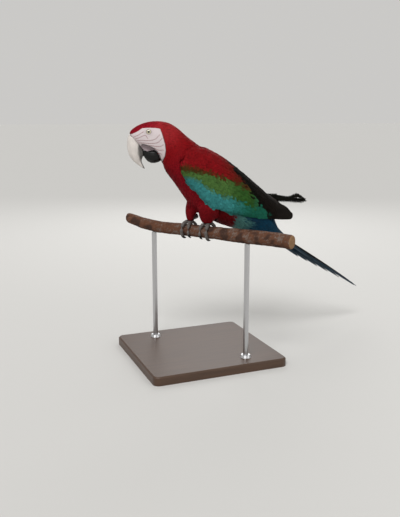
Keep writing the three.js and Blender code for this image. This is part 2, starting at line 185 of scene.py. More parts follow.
def remeshed(nodes, voxel, swell=0.0):
    """One closed mesh round copies of CAD nodes, which swell a little so that their cuts close."""
    shell = bmesh.new()
    for node in nodes:
        shell.from_mesh(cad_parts[node].data)
    bmesh.ops.remove_doubles(shell, verts=shell.verts, dist=1e-6)
    shell.normal_update()
    for vertex in shell.verts:
        vertex.co += vertex.normal * swell
    mesh = bpy.data.meshes.new("shell")
    shell.to_mesh(mesh)
    shell.free()
    piece = shown("shell", mesh)
    modifier = piece.modifiers.new("voxels", "REMESH")
    modifier.mode = "VOXEL"
    modifier.voxel_size = voxel
    depsgraph = bpy.context.evaluated_depsgraph_get()
    result = bpy.data.meshes.new_from_object(piece.evaluated_get(depsgraph))
    bpy.data.objects.remove(piece)
    return result


def ring_faces(rings, around, closed=False):
    """Quads between rings of points, and closed along the rings too where asked."""
    i, j = np.meshgrid(np.arange(rings if closed else rings - 1), np.arange(around), indexing="ij")
    after, beside = (i + 1) % rings, (j + 1) % around
    quads = [i * around + j, after * around + j, after * around + beside, i * around + beside]
    return np.stack(quads, -1).reshape(-1, 4)


class Surface:
    """A closed surface of triangles that feathers can be rooted on and laid along."""

    def __init__(self, mesh, rounds=0):
        self.mesh = mesh
        self.points = flat(mesh.vertices, "co", 3)
        self.edges = flat(mesh.edges, "vertices", 2, np.int32)
        self.points = self.relaxed(self.points, rounds)
        mesh.calc_loop_triangles()
        self.triangles = flat(mesh.loop_triangles, "vertices", 3, np.int32)
        self.settle()

    def relaxed(self, values, rounds, amount=0.5):
        """Values at the points, evened out with their neighbours."""
        values = values.reshape(len(self.points), -1)
        a, b = self.edges.T
        count = np.bincount(self.edges.ravel(), minlength=len(values))[:, None]
        for _ in range(rounds):
            total = [
                np.bincount(a, column[b], len(values)) + np.bincount(b, column[a], len(values))
                for column in values.T
            ]
            values = values + amount * (np.stack(total, 1) / count - values)
        return values

    def settle(self):
        corner = self.points[self.triangles]
        across = np.cross(corner[:, 1] - corner[:, 0], corner[:, 2] - corner[:, 0])
        total = [
            sum(np.bincount(self.triangles[:, k], across[:, axis], len(self.points)) for k in range(3))
            for axis in range(3)
        ]
        self.normals = unit(np.stack(total, 1))
        self.tree = BVHTree.FromPolygons(self.points.tolist(), self.triangles.tolist())

    def grow(self, amount):
        """Moves the points along their normals, inwards where the amount is negative."""
        self.points = self.points + self.normals * np.broadcast_to(amount, len(self.points))[:, None]

    def middles(self):
        return self.points[self.triangles].mean(1)

    def nearest(self, points):
        """The nearest place on the surface to each point, its smooth normal and its triangle."""
        found = [self.tree.find_nearest(point) for point in points.tolist()]
        places = np.array([hit[0] for hit in found])
        index = np.array([hit[2] for hit in found])
        corners = self.triangles[index]
        gaps = np.linalg.norm(self.points[corners] - places[:, None], axis=2)
        weights = 1 / (gaps + 1e-5)
        return places, unit(np.einsum("nk,nkd->nd", weights, self.normals[corners])), index

    def seen_from(self, start, way):
        """The first place on the surface along a ray, or None, and its triangle."""
        hit, _, index, _ = self.tree.ray_cast(start, way, 0.3)
        return (None if hit is None else np.array(hit)), index

    def scattered(self, allowed, gap, seed):
        """Places spread over the allowed triangles, each at least gap(place) from the others."""
        rng = np.random.default_rng(seed)
        corner = self.points[self.triangles[allowed]]
        area = np.linalg.norm(np.cross(corner[:, 1] - corner[:, 0], corner[:, 2] - corner[:, 0]), axis=1)
        share = area / 2 / gap(corner.mean(1)) ** 2
        chosen = corner[rng.choice(len(corner), int(share.sum() * 5), p=share / share.sum())]
        a, b = rng.random((2, len(chosen), 1))
        a, b = np.where(a + b > 1, 1 - a, a), np.where(a + b > 1, 1 - b, b)
        places = chosen[:, 0] * (1 - a - b) + chosen[:, 1] * a + chosen[:, 2] * b
        gaps = gap(places)
        cells = np.floor(places / gaps.max()).astype(int).tolist()
        taken, kept = {}, []
        around = [(i, j, k) for i in (-1, 0, 1) for j in (-1, 0, 1) for k in (-1, 0, 1)]
        for number, ((x, y, z), (i, j, k), near) in enumerate(zip(places.tolist(), cells, gaps.tolist())):
            near *= near
            others = (p for di, dj, dk in around for p in taken.get((i + di, j + dj, k + dk), ()))
            if all((x - u) ** 2 + (y - v) ** 2 + (z - w) ** 2 > near for u, v, w in others):
                taken.setdefault((i, j, k), []).append((x, y, z))
                kept.append(number)
        return places[kept]

    def finished(self, name, colours):
        """The surface's mesh with its points in place and a tint at each."""
        self.mesh.name = name
        self.mesh.vertices.foreach_set("co", self.points.astype(np.float32).ravel())
        self.mesh.polygons.foreach_set("use_smooth", np.ones(len(self.mesh.polygons), bool))
        self.mesh.update()
        set_colours(self.mesh, "tint", colours)
        return self.mesh


class Line:
    """A smooth line through points, measured along its own length."""

    def __init__(self, points, steps=400):
        points = np.asarray(points, float)
        controls = np.array([2 * points[0] - points[1], *points, 2 * points[-1] - points[-2]])
        shares = np.linspace(0, len(points) - 1 - 1e-9, steps)
        i = shares.astype(int)
        t = (shares - i)[:, None]
        p0, p1, p2, p3 = (controls[i + k] for k in range(4))
        self.points = 0.5 * (
            2 * p1 + (p2 - p0) * t + (2 * p0 - 5 * p1 + 4 * p2 - p3) * t**2
            + (3 * p1 - p0 - 3 * p2 + p3) * t**3
        )
        gaps = np.linalg.norm(np.diff(self.points, axis=0), axis=1)
        self.distance = np.concatenate([[0], np.cumsum(gaps)])
        self.length = self.distance[-1]
        self.ways = unit(np.gradient(self.points, self.distance, axis=0))

    def at(self, distance):
        return np.stack([np.interp(distance, self.distance, c) for c in self.points.T], -1)

    def way(self, distance):
        return unit(np.stack([np.interp(distance, self.distance, c) for c in self.ways.T], -1))

    def nearest(self, points):
        """How far along the line the nearest place to each point lies."""
        best, batch = np.empty(len(points)), 4000
        for start in range(0, len(points), batch):
            part = points[start : start + batch, None] - self.points[None]
            best[start : start + batch] = self.distance[np.argmin((part**2).sum(2), 1)]
        return best

    def flow(self, places):
        """The line's way beside each place, how far along it is and the places' unwrap round it."""
        along = self.nearest(places)
        way = self.way(along)
        up = unit(np.array([0, 0, 1.0]) - way * way[:, 2:])
        out = places - self.at(along)
        angle = np.arctan2(dot(out, np.cross(way, up))[:, 0], dot(out, up)[:, 0])
        return way, along, np.stack([angle / (2 * math.pi) + 0.5, along / self.length], 1)


# ---- the plumage's outer form and the lines that its feathers lie along ----
def tail_place(distance, drop=0.0, left=0.0):
    """A place given along the tail: from its root, down from its top, to its left."""
    back = np.array([math.cos(TAIL_TURN), math.sin(TAIL_TURN), 0])
    axis = back * math.cos(TAIL_PITCH) - np.array([0, 0, math.sin(TAIL_PITCH)])
    leftward = np.array([back[1], -back[0], 0])
    top = np.cross(leftward, axis)
    return TAIL_ROOT + axis * distance - top * drop + leftward * left


SPINE = Line(
    [
        head_place(155 * MM, 523 * MM),
        head_place(138 * MM, 525 * MM),
        head_place(116 * MM, 518 * MM),
        head_place(92 * MM, 509 * MM),
        head_place(68 * MM, 499 * MM),
        [-0.042, 0.003, 0.470],
        [-0.015, 0, 0.441],
        [0.017, 0, 0.412],
        [0.054, 0, 0.384],
        [0.093, 0, 0.357],
        [0.127, 0, 0.335],
        tail_place(20 * MM, 6 * MM),
        tail_place(60 * MM, 6 * MM),
        tail_place(94 * MM, 4 * MM),
        tail_place(125 * MM, 3.5 * MM),
    ]
)
WING_SPINE = Line(
    [
        [-0.090, 0, 0.470],
        [-0.040, 0, 0.451],
        [-0.017, 0, 0.440],
        [0.014, 0, 0.412],
        [0.054, 0, 0.384],
        [0.093, 0, 0.362],
        [0.133, 0, 0.343],
        [0.169, 0, 0.329],
        [0.236, 0, 0.314],
    ]
)
THIGH_LINES = {
    "left": Line([[-0.020, -0.030, 0.385], [-0.017, -0.028, 0.355], [-0.013, -0.023, 0.333],
                  [-0.013, -0.021, 0.318]]),
    "right": Line([[-0.018, 0.030, 0.385], [-0.002, 0.029, 0.355], [0.010, 0.024, 0.335],
                   [0.013, 0.020, 0.318]]),
}
NECK_START, TRUNK_START, RUMP_START = 0.085, 0.150, 0.292  # along the spine


def nearest_nodes(points, nodes):
    """Which of the CAD nodes lies nearest to each point, as an index into nodes."""
    corners, faces, owner = [], [], []
    for number, name in enumerate(nodes):
        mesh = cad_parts[name].data
        mesh.calc_loop_triangles()
        faces += (flat(mesh.loop_triangles, "vertices", 3, np.int32) + len(corners)).tolist()
        corners += flat(mesh.vertices, "co", 3).tolist()
        owner += [number] * len(mesh.loop_triangles)
    tree = BVHTree.FromPolygons(corners, faces)
    return np.array([owner[tree.find_nearest(point)[2]] for point in points.tolist()])


FORM_NODES = FLESH + ["wingtip_left", "wingtip_right"]
FORM = Surface(remeshed(FORM_NODES + EYES, 2.2 * MM, swell=0.4 * MM), rounds=8)
FORM_MIDDLES = FORM.middles()
FORM_REGION = nearest_nodes(FORM_MIDDLES, FORM_NODES)


def in_region(*nodes):
    """Which triangles of the form belong to any of those CAD nodes."""
    return np.isin(FORM_REGION, [FORM_NODES.index(name) for name in nodes])


# ---- markings: the bare face and the colours, in linear light ----
FACE_EDGE = [  # the bare face in the head's side view: ahead and height, in millimetres
    (166, 507), (161, 520), (150, 521.5), (140, 526), (126, 535), (106, 535.8), (87, 534), (82, 521),
    (76.5, 501), (75, 487), (77.5, 474), (84, 462), (92, 452), (130, 452), (166, 480),
]
GAPE = [(127, 499), (118, 497.5), (109, 494.5), (101, 490.5), (94, 484), (88.5, 475), (86, 463)]
MOUTH = [*GAPE, (90, 452), (132, 452), (132, 494)]


def chain_distance(ahead, height, chain):
    """Distance in the head's side view to a chain of corners given in millimetres."""
    nearest = np.full(ahead.shape, 1e9)
    chain = np.array(chain, float) * MM
    for (x0, z0), (x1, z1) in zip(chain[:-1], chain[1:]):
        dx, dz = x1 - x0, z1 - z0
        share = np.clip(((ahead - x0) * dx + (height - z0) * dz) / (dx * dx + dz * dz), 0, 1)
        nearest = np.minimum(nearest, np.hypot(ahead - x0 - share * dx, height - z0 - share * dz))
    return nearest


def edge_distance(ahead, height, outline):
    """Distance inside (positive) or outside an outline drawn in the head's side view."""
    nearest = chain_distance(ahead, height, [*outline, outline[0]])
    outline = np.array(outline, float) * MM
    inside = np.zeros(ahead.shape, bool)
    for (x0, z0), (x1, z1) in zip(outline, np.roll(outline, -1, 0)):
        if z0 != z1:
            inside ^= ((z0 > height) != (z1 > height)) & (ahead < (height - z0) / (z1 - z0) * (x1 - x0) + x0)
    return np.where(inside, nearest, -nearest)


def face_distance(points):
    """Distance inside (positive) or outside the bare face on either side of the head."""
    ahead, height, left = head_sight(points)
    within = np.minimum(np.abs(left) - 3 * MM, 36 * MM - np.abs(left)) * 0.8
    return np.minimum(edge_distance(ahead, height, FACE_EDGE), within)


CRIMSON = (0.33, 0.008, 0.020)
NECK_RED = (0.215, 0.004, 0.006)
# A paler red that paints a highlight on the upper nape.
NAPE_HIGHLIGHT = (0.42, 0.036, 0.036)
BREAST_RED = (0.22, 0.005, 0.011)
BELLY_RED = (0.155, 0.004, 0.007)
SHOULDER_RED = (0.170, 0.005, 0.007)
REAR_RED = (0.072, 0.009, 0.004)
OLIVE = (0.048, 0.024, 0.006)
GREEN = (0.054, 0.118, 0.029)
REAR_GREEN = (0.022, 0.068, 0.013)
TEAL = (0.010, 0.095, 0.060)
CYAN = (0.036, 0.192, 0.190)
DEEP_BLUE = (0.002, 0.028, 0.056)
PALE_BLUE = (0.062, 0.170, 0.155)
TAIL_RED = (0.12, 0.006, 0.006)
SOOT = (0.0032, 0.0030, 0.0018)
BROWN_SOOT = (0.0062, 0.0044, 0.0032)
# A paler brown that paints a sheen on the tops of the upper flight feathers.
SHEEN_FAWN = (0.012, 0.0082, 0.0064)
FACE_WHITE = (0.55, 0.485, 0.49)
MAUVE = (0.34, 0.27, 0.29)
# A grey that paints shade into the gape's crease.
GAPE_SHADE = (0.14, 0.115, 0.12)
FOOT_GREY = (0.120, 0.106, 0.098)
HORN = (0.60, 0.555, 0.520)
HORN_GREY = (0.125, 0.117, 0.110)
SLATE = (0.006, 0.006, 0.0055)

# The wing's bands in side view, as x and height in millimetres: where red gives way to green
# below it, green to blue below that, and each of them to near-black above and behind: dark
# inner webs, partly painted shade.
RED_EDGE = between((-58, 452), (-21, 443), (20, 428), (60, 414), (84, 405), (110, 386))
BLUE_EDGE = between((-45, 430), (-20, 416), (0, 399), (34, 383), (78, 366), (109, 352), (150, 343))
BACK_EDGE = between((46, 620), (56, 470), (72, 437), (84, 417), (96, 403), (102, 389), (117, 367),
                    (135, 350), (145, 338), (166, 318))
OLIVE_BAND = between((-50, 5), (10, 0))  # how much lower the green starts, under a band of olive
VENT_EDGE = between((78, 336), (120, 313), (160, 318))  # pale blue below it, deep blue above


def wing_colours(points):
    """Red above, then green, then blue along the lower edge; near-black along the back's edge, partly
    painted shade, and brown-black towards the back's end.
    """
    x, z = points[..., 0] / MM, points[..., 2] / MM
    below_red = z - RED_EDGE(x)
    red = mix(SHOULDER_RED, REAR_RED, smoothstep(20, 85, x))
    green = mix(mix(GREEN, REAR_GREEN, smoothstep(20, 85, x)), TEAL, smoothstep(100, 135, x) * 0.7)
    colours = mix(red, OLIVE, smoothstep(9, -1, below_red))
    colours = mix(colours, green, smoothstep(0, -9, below_red + OLIVE_BAND(x)))
    colours = mix(colours, mix(CYAN, TEAL, smoothstep(25, 105, x)), smoothstep(5, -5, z - BLUE_EDGE(x)))
    # Near-black above the back's edge: dark inner webs, with painted shade where the feathers face away from
    # the light.
    colours = mix(colours, SOOT, smoothstep(-6, 3, z - BACK_EDGE(x)))
    return mix(colours, BROWN_SOOT, smoothstep(145, 155, x + (z - 345) * 0.62))


def body_colours(points):
    """Colours of the head, neck and trunk, from how far along the spine the points lie."""
    along = SPINE.nearest(points.reshape(-1, 3)).reshape(points.shape[:-1])
    under = smoothstep(0.02, -0.02, points[..., 2] - SPINE.at(along)[..., 2])
    colours = mix(CRIMSON, NECK_RED, smoothstep(0.05, 0.11, along))
    # Painted highlight: a paler red on the upper side of the nape, where the light falls.
    nape_highlight = smoothstep(0.035, 0.060, along) * smoothstep(0.110, 0.080, along) * (1 - under)
    colours = mix(colours, NAPE_HIGHLIGHT, nape_highlight * 0.4)
    colours = mix(colours, BREAST_RED, smoothstep(0.09, 0.16, along) * (0.35 + 0.65 * under))
    colours = mix(colours, BELLY_RED, smoothstep(0.18, 0.28, along))
    # Painted shade: the underside darkens towards the vent.
    colours = colours * (1 - 0.35 * smoothstep(0.24, 0.31, along) * under)[..., None]
    # Near-black along the top of the back: partly the feathers' dark inner webs, partly painted shade where
    # they face away from the light.
    colours = mix(colours, SOOT, smoothstep(0.200, 0.215, along) * (1 - under))
    vent = smoothstep(66 * MM, 76 * MM, points[..., 0] + (points[..., 2] - 0.322) * 0.4)
    above = points[..., 2] / MM - VENT_EDGE(points[..., 0] / MM)
    colours = mix(colours, mix(PALE_BLUE, DEEP_BLUE, smoothstep(-5, 4, above)), vent * under)
    return mix(colours, DEEP_BLUE, smoothstep(0.33, 0.37, along))


# ---- materials ----
def material_of(name, roughness, **finish):
    """A material with its Principled shader's own values, and that shader and its tree."""
    material = bpy.data.materials.new(name)
    material.use_nodes = True
    tree = material.node_tree
    shader = tree.nodes["Principled BSDF"]
    shader.inputs["Roughness"].default_value = roughness
    for socket, value in finish.items():
        shader.inputs[socket.replace("_", " ")].default_value = value
    return material, tree, shader


def node(tree, kind, inputs=None, **settings):
    """A shader node, with sockets filled from values or linked from other nodes' sockets."""
    made = tree.nodes.new(kind)
    for name, value in settings.items():
        setattr(made, name, value)
    for key, value in (inputs or {}).items():
        if isinstance(value, bpy.types.NodeSocket):
            tree.links.new(value, made.inputs[key])
        else:
            made.inputs[key].default_value = value
    return made


def math_node(tree, operation, *values):
    return node(tree, "ShaderNodeMath", dict(enumerate(values)), operation=operation).outputs[0]


def new_group(name, inputs, outputs):
    """A shader node group, with its input sockets by name and a function that fills an output."""
    group = bpy.data.node_groups.new(name, "ShaderNodeTree")
    for socket, kind in inputs.items():
        group.interface.new_socket(socket, in_out="INPUT", socket_type="NodeSocket" + kind)
    for socket, kind in outputs.items():
        group.interface.new_socket(socket, in_out="OUTPUT", socket_type="NodeSocket" + kind)
    given = group.nodes.new("NodeGroupInput").outputs
    put = group.nodes.new("NodeGroupOutput").inputs
    return group, given, lambda socket, value: group.links.new(value, put[socket])


def barbs_group():
    """Fine lines of barbs that slant from a feather's shaft, as a tint and a height."""
    group, given, put = new_group(
        "barbs", {"Tint": "Color", "Per Centimetre": "Float", "Contrast": "Float"},
        {"Color": "Color", "Height": "Float"},
    )
    lie = node(group, "ShaderNodeUVMap", uv_map="vane")
    parts = node(group, "ShaderNodeSeparateXYZ", {0: lie.outputs["UV"]})
    slant = math_node(group, "MULTIPLY", math_node(group, "ABSOLUTE", parts.outputs["X"]), 1.3)
    run = math_node(group, "SUBTRACT", parts.outputs["Y"], slant)
    count = math_node(group, "MULTIPLY", run, given["Per Centimetre"])
    wobble = node(group, "ShaderNodeTexNoise", {"Scale": 260.0, "Detail": 2.0})
    bent = math_node(group, "MULTIPLY_ADD", wobble.outputs["Fac"], 0.9, count)
    wave = math_node(group, "SINE", math_node(group, "MULTIPLY", bent, 6.2832))
    shade = math_node(group, "MULTIPLY_ADD", wave, given["Contrast"], 1.0)
    tinted = node(group, "ShaderNodeVectorMath", {0: given["Tint"], 1: shade}, operation="MULTIPLY")
    put("Color", tinted.outputs[0])
    put("Height", wave)
    return group


def grain_group():
    """A tint broken up by fine spots stretched along one axis, and a height that goes with them."""
    group, given, put = new_group(
        "grain", {"Tint": "Color", "Stretch": "Vector", "Per Metre": "Float", "Contrast": "Float"},
        {"Color": "Color", "Height": "Float"},
    )
    where = node(group, "ShaderNodeTexCoord").outputs["Object"]
    scaled = node(group, "ShaderNodeVectorMath", {0: where, 1: given["Stretch"]}, operation="MULTIPLY")
    fine = node(
        group, "ShaderNodeTexNoise",
        {"Vector": scaled.outputs[0], "Scale": given["Per Metre"], "Detail": 4.0, "Roughness": 0.6},
    )
    away = math_node(group, "SUBTRACT", fine.outputs["Fac"], 0.5)
    shade = math_node(group, "MULTIPLY_ADD", away, given["Contrast"], 1.0)
    tinted = node(group, "ShaderNodeVectorMath", {0: given["Tint"], 1: shade}, operation="MULTIPLY")
    put("Color", tinted.outputs[0])
    put("Height", fine.outputs["Fac"])
    return group


BARBS, GRAIN = barbs_group(), grain_group()


def dressed(name, roughness, group, settings, bump, distance, tint=None, **finish):
    """A material whose tint and bump come through a group, from the mesh's tint or one colour."""
    material, tree, shader = material_of(name, roughness, **finish)
    made = node(tree, "ShaderNodeGroup", node_tree=group)
    if tint is None:
        source = node(tree, "ShaderNodeAttribute", attribute_name="tint")
        tree.links.new(source.outputs["Color"], made.inputs["Tint"])
    else:
        made.inputs["Tint"].default_value = (*tint, 1)
    for socket, value in settings.items():
        made.inputs[socket].default_value = value
    tree.links.new(made.outputs["Color"], shader.inputs["Base Color"])
    raised = node(
        tree, "ShaderNodeBump",
        {"Height": made.outputs["Height"], "Strength": bump, "Distance": distance},
    )
    tree.links.new(raised.outputs["Normal"], shader.inputs["Normal"])
    return material


def feather_material(name, roughness, per_centimetre, contrast, **finish):
    settings = {"Per Centimetre": per_centimetre, "Contrast": contrast}
    return dressed(name, roughness, BARBS, settings, 0.25, 0.1 * MM, **finish)


def grained_material(name, roughness, stretch, per_metre, contrast, bump, distance, **finish):
    settings = {"Stretch": stretch, "Per Metre": per_metre, "Contrast": contrast}
    return dressed(name, roughness, GRAIN, settings, bump, distance, **finish)


BODY_FEATHER = feather_material("body_feather", 0.62, 26.0, 0.10, Specular_IOR_Level=0.05)
WING_FEATHER = feather_material("wing_feather", 0.52, 22.0, 0.10, Specular_IOR_Level=0.02)
QUILL_FEATHER = feather_material("quill_feather", 0.45, 16.0, 0.14, Specular_IOR_Level=0.04)
SKIN = grained_material("bird_skin", 0.62, (1, 1, 1), 700.0, 0.25, 0.5, 0.25 * MM,
                        Specular_IOR_Level=0.12)
HORN_MATERIAL = grained_material("bill_horn", 0.36, (1, 1, 0.35), 260.0, 0.16, 0.25, 0.3 * MM)
DARK_HORN = grained_material("dark_horn", 0.34, (1, 1, 0.5), 300.0, 0.35, 0.3, 0.3 * MM,
                             Specular_IOR_Level=0.22)
SCALE = grained_material("foot_scale", 0.52, (1, 1, 1), 600.0, 0.3, 0.3, 0.15 * MM)
BARK = grained_material("bark", 0.88, (1, 1, 1), 210.0, 0.9, 0.8, 1.2 * MM, Specular_IOR_Level=0.2)
EYE = grained_material("eye", 0.06, (1, 1, 1), 900.0, 0.2, 0.0, 0.1 * MM, Coat_Weight=1.0,
                       Coat_Roughness=0.02)


# ---- feathers ----
class Vane:
    """One cut of feather: places along it, half widths there, and the points round its section."""

    def __init__(self, along, width, section):
        self.along = np.array(along, float)
        self.width = np.array(width, float)
        self.across, self.over = np.array(section, float).T

    def faces(self, count):
        """Quads and end caps of that many feathers, with outward faces."""
        rings, around = len(self.along), len(self.across)
        quads = ring_faces(rings, around)
        caps = np.stack([np.arange(around), rings * around - 1 - np.arange(around)])
        first = (np.arange(count) * rings * around)[:, None, None]
        return [(quads + first).reshape(-1, 4), (caps + first).reshape(-1, around)]


ROOF = [(-1, 0), (0, 1), (1, 0)]
SHELL = [(-1, 0), (-0.5, 0.75), (0, 1.3), (0.5, 0.75), (1, 0)]
RACHIS = [(-1, 0), (-0.5, 0.45), (-0.06, 0.6), (0, 2.0), (0.06, 0.6), (0.5, 0.45), (1, 0), (0.06, -0.6),
          (0, -1.6), (-0.06, -0.6)]
TUFT = Vane((0, 0.3, 0.62, 0.86, 1), (0.45, 0.95, 1, 0.66, 0.12), ROOF)
BROAD = Vane((0, 0.25, 0.5, 0.72, 0.86, 0.95, 1), (0.4, 0.8, 0.98, 1, 0.84, 0.52, 0.14), SHELL)
BAKE_PATCH = 0.003


def coat(name, cut, paths, normals, half_widths, depths, tints, places, material, seed,
         camber=0.08, thickness=0.2 * MM, ragged=0.05):
    """A piece of many vanes, each laid along its path at its depths inside the form."""
    rng = np.random.default_rng(seed)
    count, stations = paths.shape[:2]
    ways = unit(np.gradient(paths, axis=1))
    sides = unit(np.cross(normals, ways))
    half = half_widths[:, None] * cut.width * (1 + rng.normal(0, ragged, (count, stations)))
    middle = paths - normals * depths[..., None]
    over = camber * half[..., None] * (1 - cut.across**2) + thickness * cut.over * 0.5
    out = half[..., None] * cut.across
    points = middle[:, :, None] + sides[:, :, None] * out[..., None]
    points = points + normals[:, :, None] * over[..., None]
    mesh = mesh_of(name, points.reshape(-1, 3), cut.faces(count))
    shape = (count, stations, len(cut.across))
    sections = flat(mesh.edges, "vertices", 2, np.int32) % len(cut.across)
    rims = np.flatnonzero(np.abs(cut.across) == 1)
    keen = (sections[:, 0] == sections[:, 1]) & np.isin(sections[:, 0], rims)
    mesh.attributes.new("sharp_edge", "BOOLEAN", "EDGE").data.foreach_set("value", keen)
    # Painted shade: each vane darkens towards its rims, so the gaps between feathers look deeper.
    edge = 1 - 0.10 * np.abs(cut.across)
    set_colours(mesh, "tint", (tints[:, :, None] * edge[:, None]).reshape(-1, 3))
    lengths = np.linalg.norm(np.diff(paths, axis=1), axis=2).sum(1)
    run = np.broadcast_to((lengths[:, None] * cut.along)[..., None], shape)
    patch = [np.broadcast_to(cut.across * 0.5, shape), np.broadcast_to(cut.along[:, None] - 0.5, shape)]
    spots = np.clip(places, 0.005, 0.995)[:, None, None] + np.stack(patch, -1) * BAKE_PATCH
    set_map(mesh, "OFBake", spots.reshape(-1, 2))
    set_map(mesh, "vane", (np.stack([out, run], -1) / (10 * MM)).reshape(-1, 2))
    return shown(name, mesh, material)


def follow(surface, roots, ways, lengths, along):
    """Walks from each root over a surface: points, normals and triangles at shares of length."""
    here, normal, face = surface.nearest(roots)
    points, normals, faces = [here], [normal], [face]
    for step in np.diff(along):
        ways = unit(ways - normal * dot(ways, normal))
        here, normal, face = surface.nearest(here + ways * (lengths * step)[:, None])
        points.append(here)
        normals.append(normal)
        faces.append(face)
    return np.stack(points, 1), np.stack(normals, 1), np.stack(faces, 1)


def lay(name, roots, ways, places, sizes, cut, colours, material, seed, surface=FORM, fan=(0,),
        wander=0.06, tip_shade=1.04, root_shade=0.6, camber=0.08, thickness=0.2 * MM, tip_depth=0.1,
        barred=()):
    """Lays a feather at each root, as one vane or a fan of them.

    The sizes are its length, half width and depth inside the form. It takes one colour, from
    the function of place, and vanes that run onto a barred CAD node are left out.
    """
    rng = np.random.default_rng(seed)
    normals = surface.nearest(roots)[1]
    count, blades = len(roots), len(fan)
    roots, ways, normals, places = (np.repeat(v, blades, 0) for v in (roots, ways, normals, places))
    length, half_width, depth = (np.repeat(np.broadcast_to(v, count), blades) for v in sizes)
    spread = np.tile(fan, count) + rng.normal(0, wander, count * blades)
    ways = turned(unit(ways - normals * dot(ways, normals)), normals, spread)
    length = length * (1 - 0.5 * np.abs(np.tile(fan, count))) * (1 + rng.normal(0, 0.08, count * blades))
    paths, normals, faces = follow(surface, roots, ways, length, cut.along)
    lift = np.interp(cut.along, [0, 0.3, 1], [1, 0.8, tip_depth])
    lift = lift + rng.uniform(-0.02, 0.1, len(roots))[:, None]
    spot = paths[::blades, int(len(cut.along) * 0.6)] + rng.normal(0, 1.2 * MM, (count, 3))
    tone = np.repeat(colours(spot) * (1 + rng.normal(0, 0.08, (count, 1))), blades, 0)
    tone = tone * (1 + rng.normal(0, 0.05, (len(roots), 1)))
    # Painted shade: each feather is darker at its root, where the feathers overlap, and a little lighter
    # towards its tip.
    shade = np.interp(cut.along, [0, 0.5, 1], [root_shade, 0.92, tip_shade])
    tints = np.clip(tone[:, None] * shade[:, None], 0, 1)
    kept = ~in_region(*barred)[faces].any(1) if barred else np.ones(len(paths), bool)
    return coat(name, cut, paths[kept], normals[kept], half_widths=half_width[kept],
                depths=(depth[:, None] * lift)[kept], tints=tints[kept], places=places[kept],
                material=material, seed=seed + 1, camber=camber, thickness=thickness)


# ---- the skin ----
SKIN_DEPTH = {"head": 1.8, "neck": 3.4, "trunk": 4.2, "tail_coverts": 3.4, "wing_left": 3.6,
              "wing_right": 3.6, "thigh_left": 2.6, "thigh_right": 2.4}
FACE_DEPTH = 0.4 * MM
SOCKET_DEPTH = 3.2 * MM
GAPE_DEPTH = 0.9 * MM
MOUTH_HALF = 14 * MM  # half the width that the skin keeps between the lower bill's sides
# Painted shade: the skin under the feathers is darker than their colour, so the gaps between them read as
# shadow.
SHADE_UNDER_FEATHERS = 0.35  # how much of the feathers' colour the skin under them has


def eye_frame(side):
    """The eyeball's middle and radius, where it looks, and the ways across and over that."""
    low, high = (np.array(corner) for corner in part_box("eye_" + side))
    gaze = unit(-SIDES[side] * HEAD_LEFT + HEAD_AHEAD * 0.08 + np.array([0, 0, 0.06]))
    over = unit(np.array([0, 0, 1.0]) - gaze * gaze[2])
    return (low + high) / 2, (high - low)[2] / 2, gaze, np.cross(over, gaze), over


def socket_depth(points):
    """How much the skin gives way round the eyeballs, so that they sit in front of it."""
    depth = np.zeros(len(points))
    for side in SIDES:
        centre, radius, gaze, _, _ = eye_frame(side)
        out = points - centre
        beside = np.linalg.norm(out - gaze * dot(out, gaze), axis=1)
        depth += SOCKET_DEPTH * smoothstep(radius * 0.92, radius * 0.66, beside) * (dot(out, gaze)[:, 0] > 0)
    return depth


def body_skin():
    """The flesh nodes as one skin: sunk by the coat's depth, drawn in at the mouth, and tinted."""
    surface = Surface(remeshed(FLESH + EYES, 1.5 * MM, swell=0.4 * MM), rounds=14)
    region = nearest_nodes(surface.points, FLESH)
    face = face_distance(surface.points)
    ahead, height, left = head_sight(surface.points)
    gape = chain_distance(ahead, height, GAPE)
    mouth = edge_distance(ahead, height, MOUTH) / MM

    depth = np.array([SKIN_DEPTH[name] for name in FLESH])[region] * MM
    depth = depth * smoothstep(1, -3, face / MM) + FACE_DEPTH * smoothstep(-3, 1, face / MM)
    depth = surface.relaxed(depth, 6)[:, 0] + socket_depth(surface.points)
    depth += GAPE_DEPTH * smoothstep(2.2 * MM, 0, gape) * (face > 0)
    surface.grow(-depth)
    excess = np.maximum(np.abs(left) - MOUTH_HALF, 0) * np.sign(left)
    surface.points -= HEAD_LEFT * (excess * smoothstep(-0.5, 3, mouth))[:, None]
    surface.settle()

    # The skin takes the feathers' markings, darkened as painted shade.
    colours = body_colours(surface.points) * SHADE_UNDER_FEATHERS
    wings = np.isin(region, [FLESH.index("wing_left"), FLESH.index("wing_right")])
    colours[wings] = wing_colours(surface.points)[wings] * SHADE_UNDER_FEATHERS
    bare = mix(FACE_WHITE, MAUVE, smoothstep(-1.5, 1, mouth))
    # Painted shade: grey along the gape's crease.
    bare = mix(bare, GAPE_SHADE, smoothstep(1.6, 0.4, gape / MM))
    colours = mix(colours, bare, smoothstep(-0.8, 0.6, face / MM))
    bill = Surface(remeshed(["upper_bill"], 1.5 * MM)).tree
    beside = np.full(len(face), 1.0)
    close = np.flatnonzero(face > 0)
    beside[close] = [bill.find_nearest(point)[3] for point in surface.points[close].tolist()]
    # Painted shade: a dark line on the skin along the top of the upper bill's base.
    colours = mix(colours, SLATE, smoothstep(2.0, 0.6, beside / MM) * smoothstep(0.500, 0.506, height))
    surface.finished("body", colours)
    return surface


LID = [  # a lid's section: out from the eye's axis, and over the skin there
    (4.9, -0.9), (5.0, 0.2), (5.35, 0.95), (6.0, 1.05), (6.7, 0.7), (7.3, 0.35), (8.0, 0.55), (8.8, 0.5),
    (9.5, 0.15), (10.3, 0.2), (11.5, -0.3), (10.0, -1.6), (6.0, -2.2),
]
LID_OUT = 28.6 * MM  # how far out from the head's middle the lid's rim lies
LID_FREE, LID_SETTLED = 6.5, 9.5  # from here on out the lid leaves the rim's level, and is on the skin


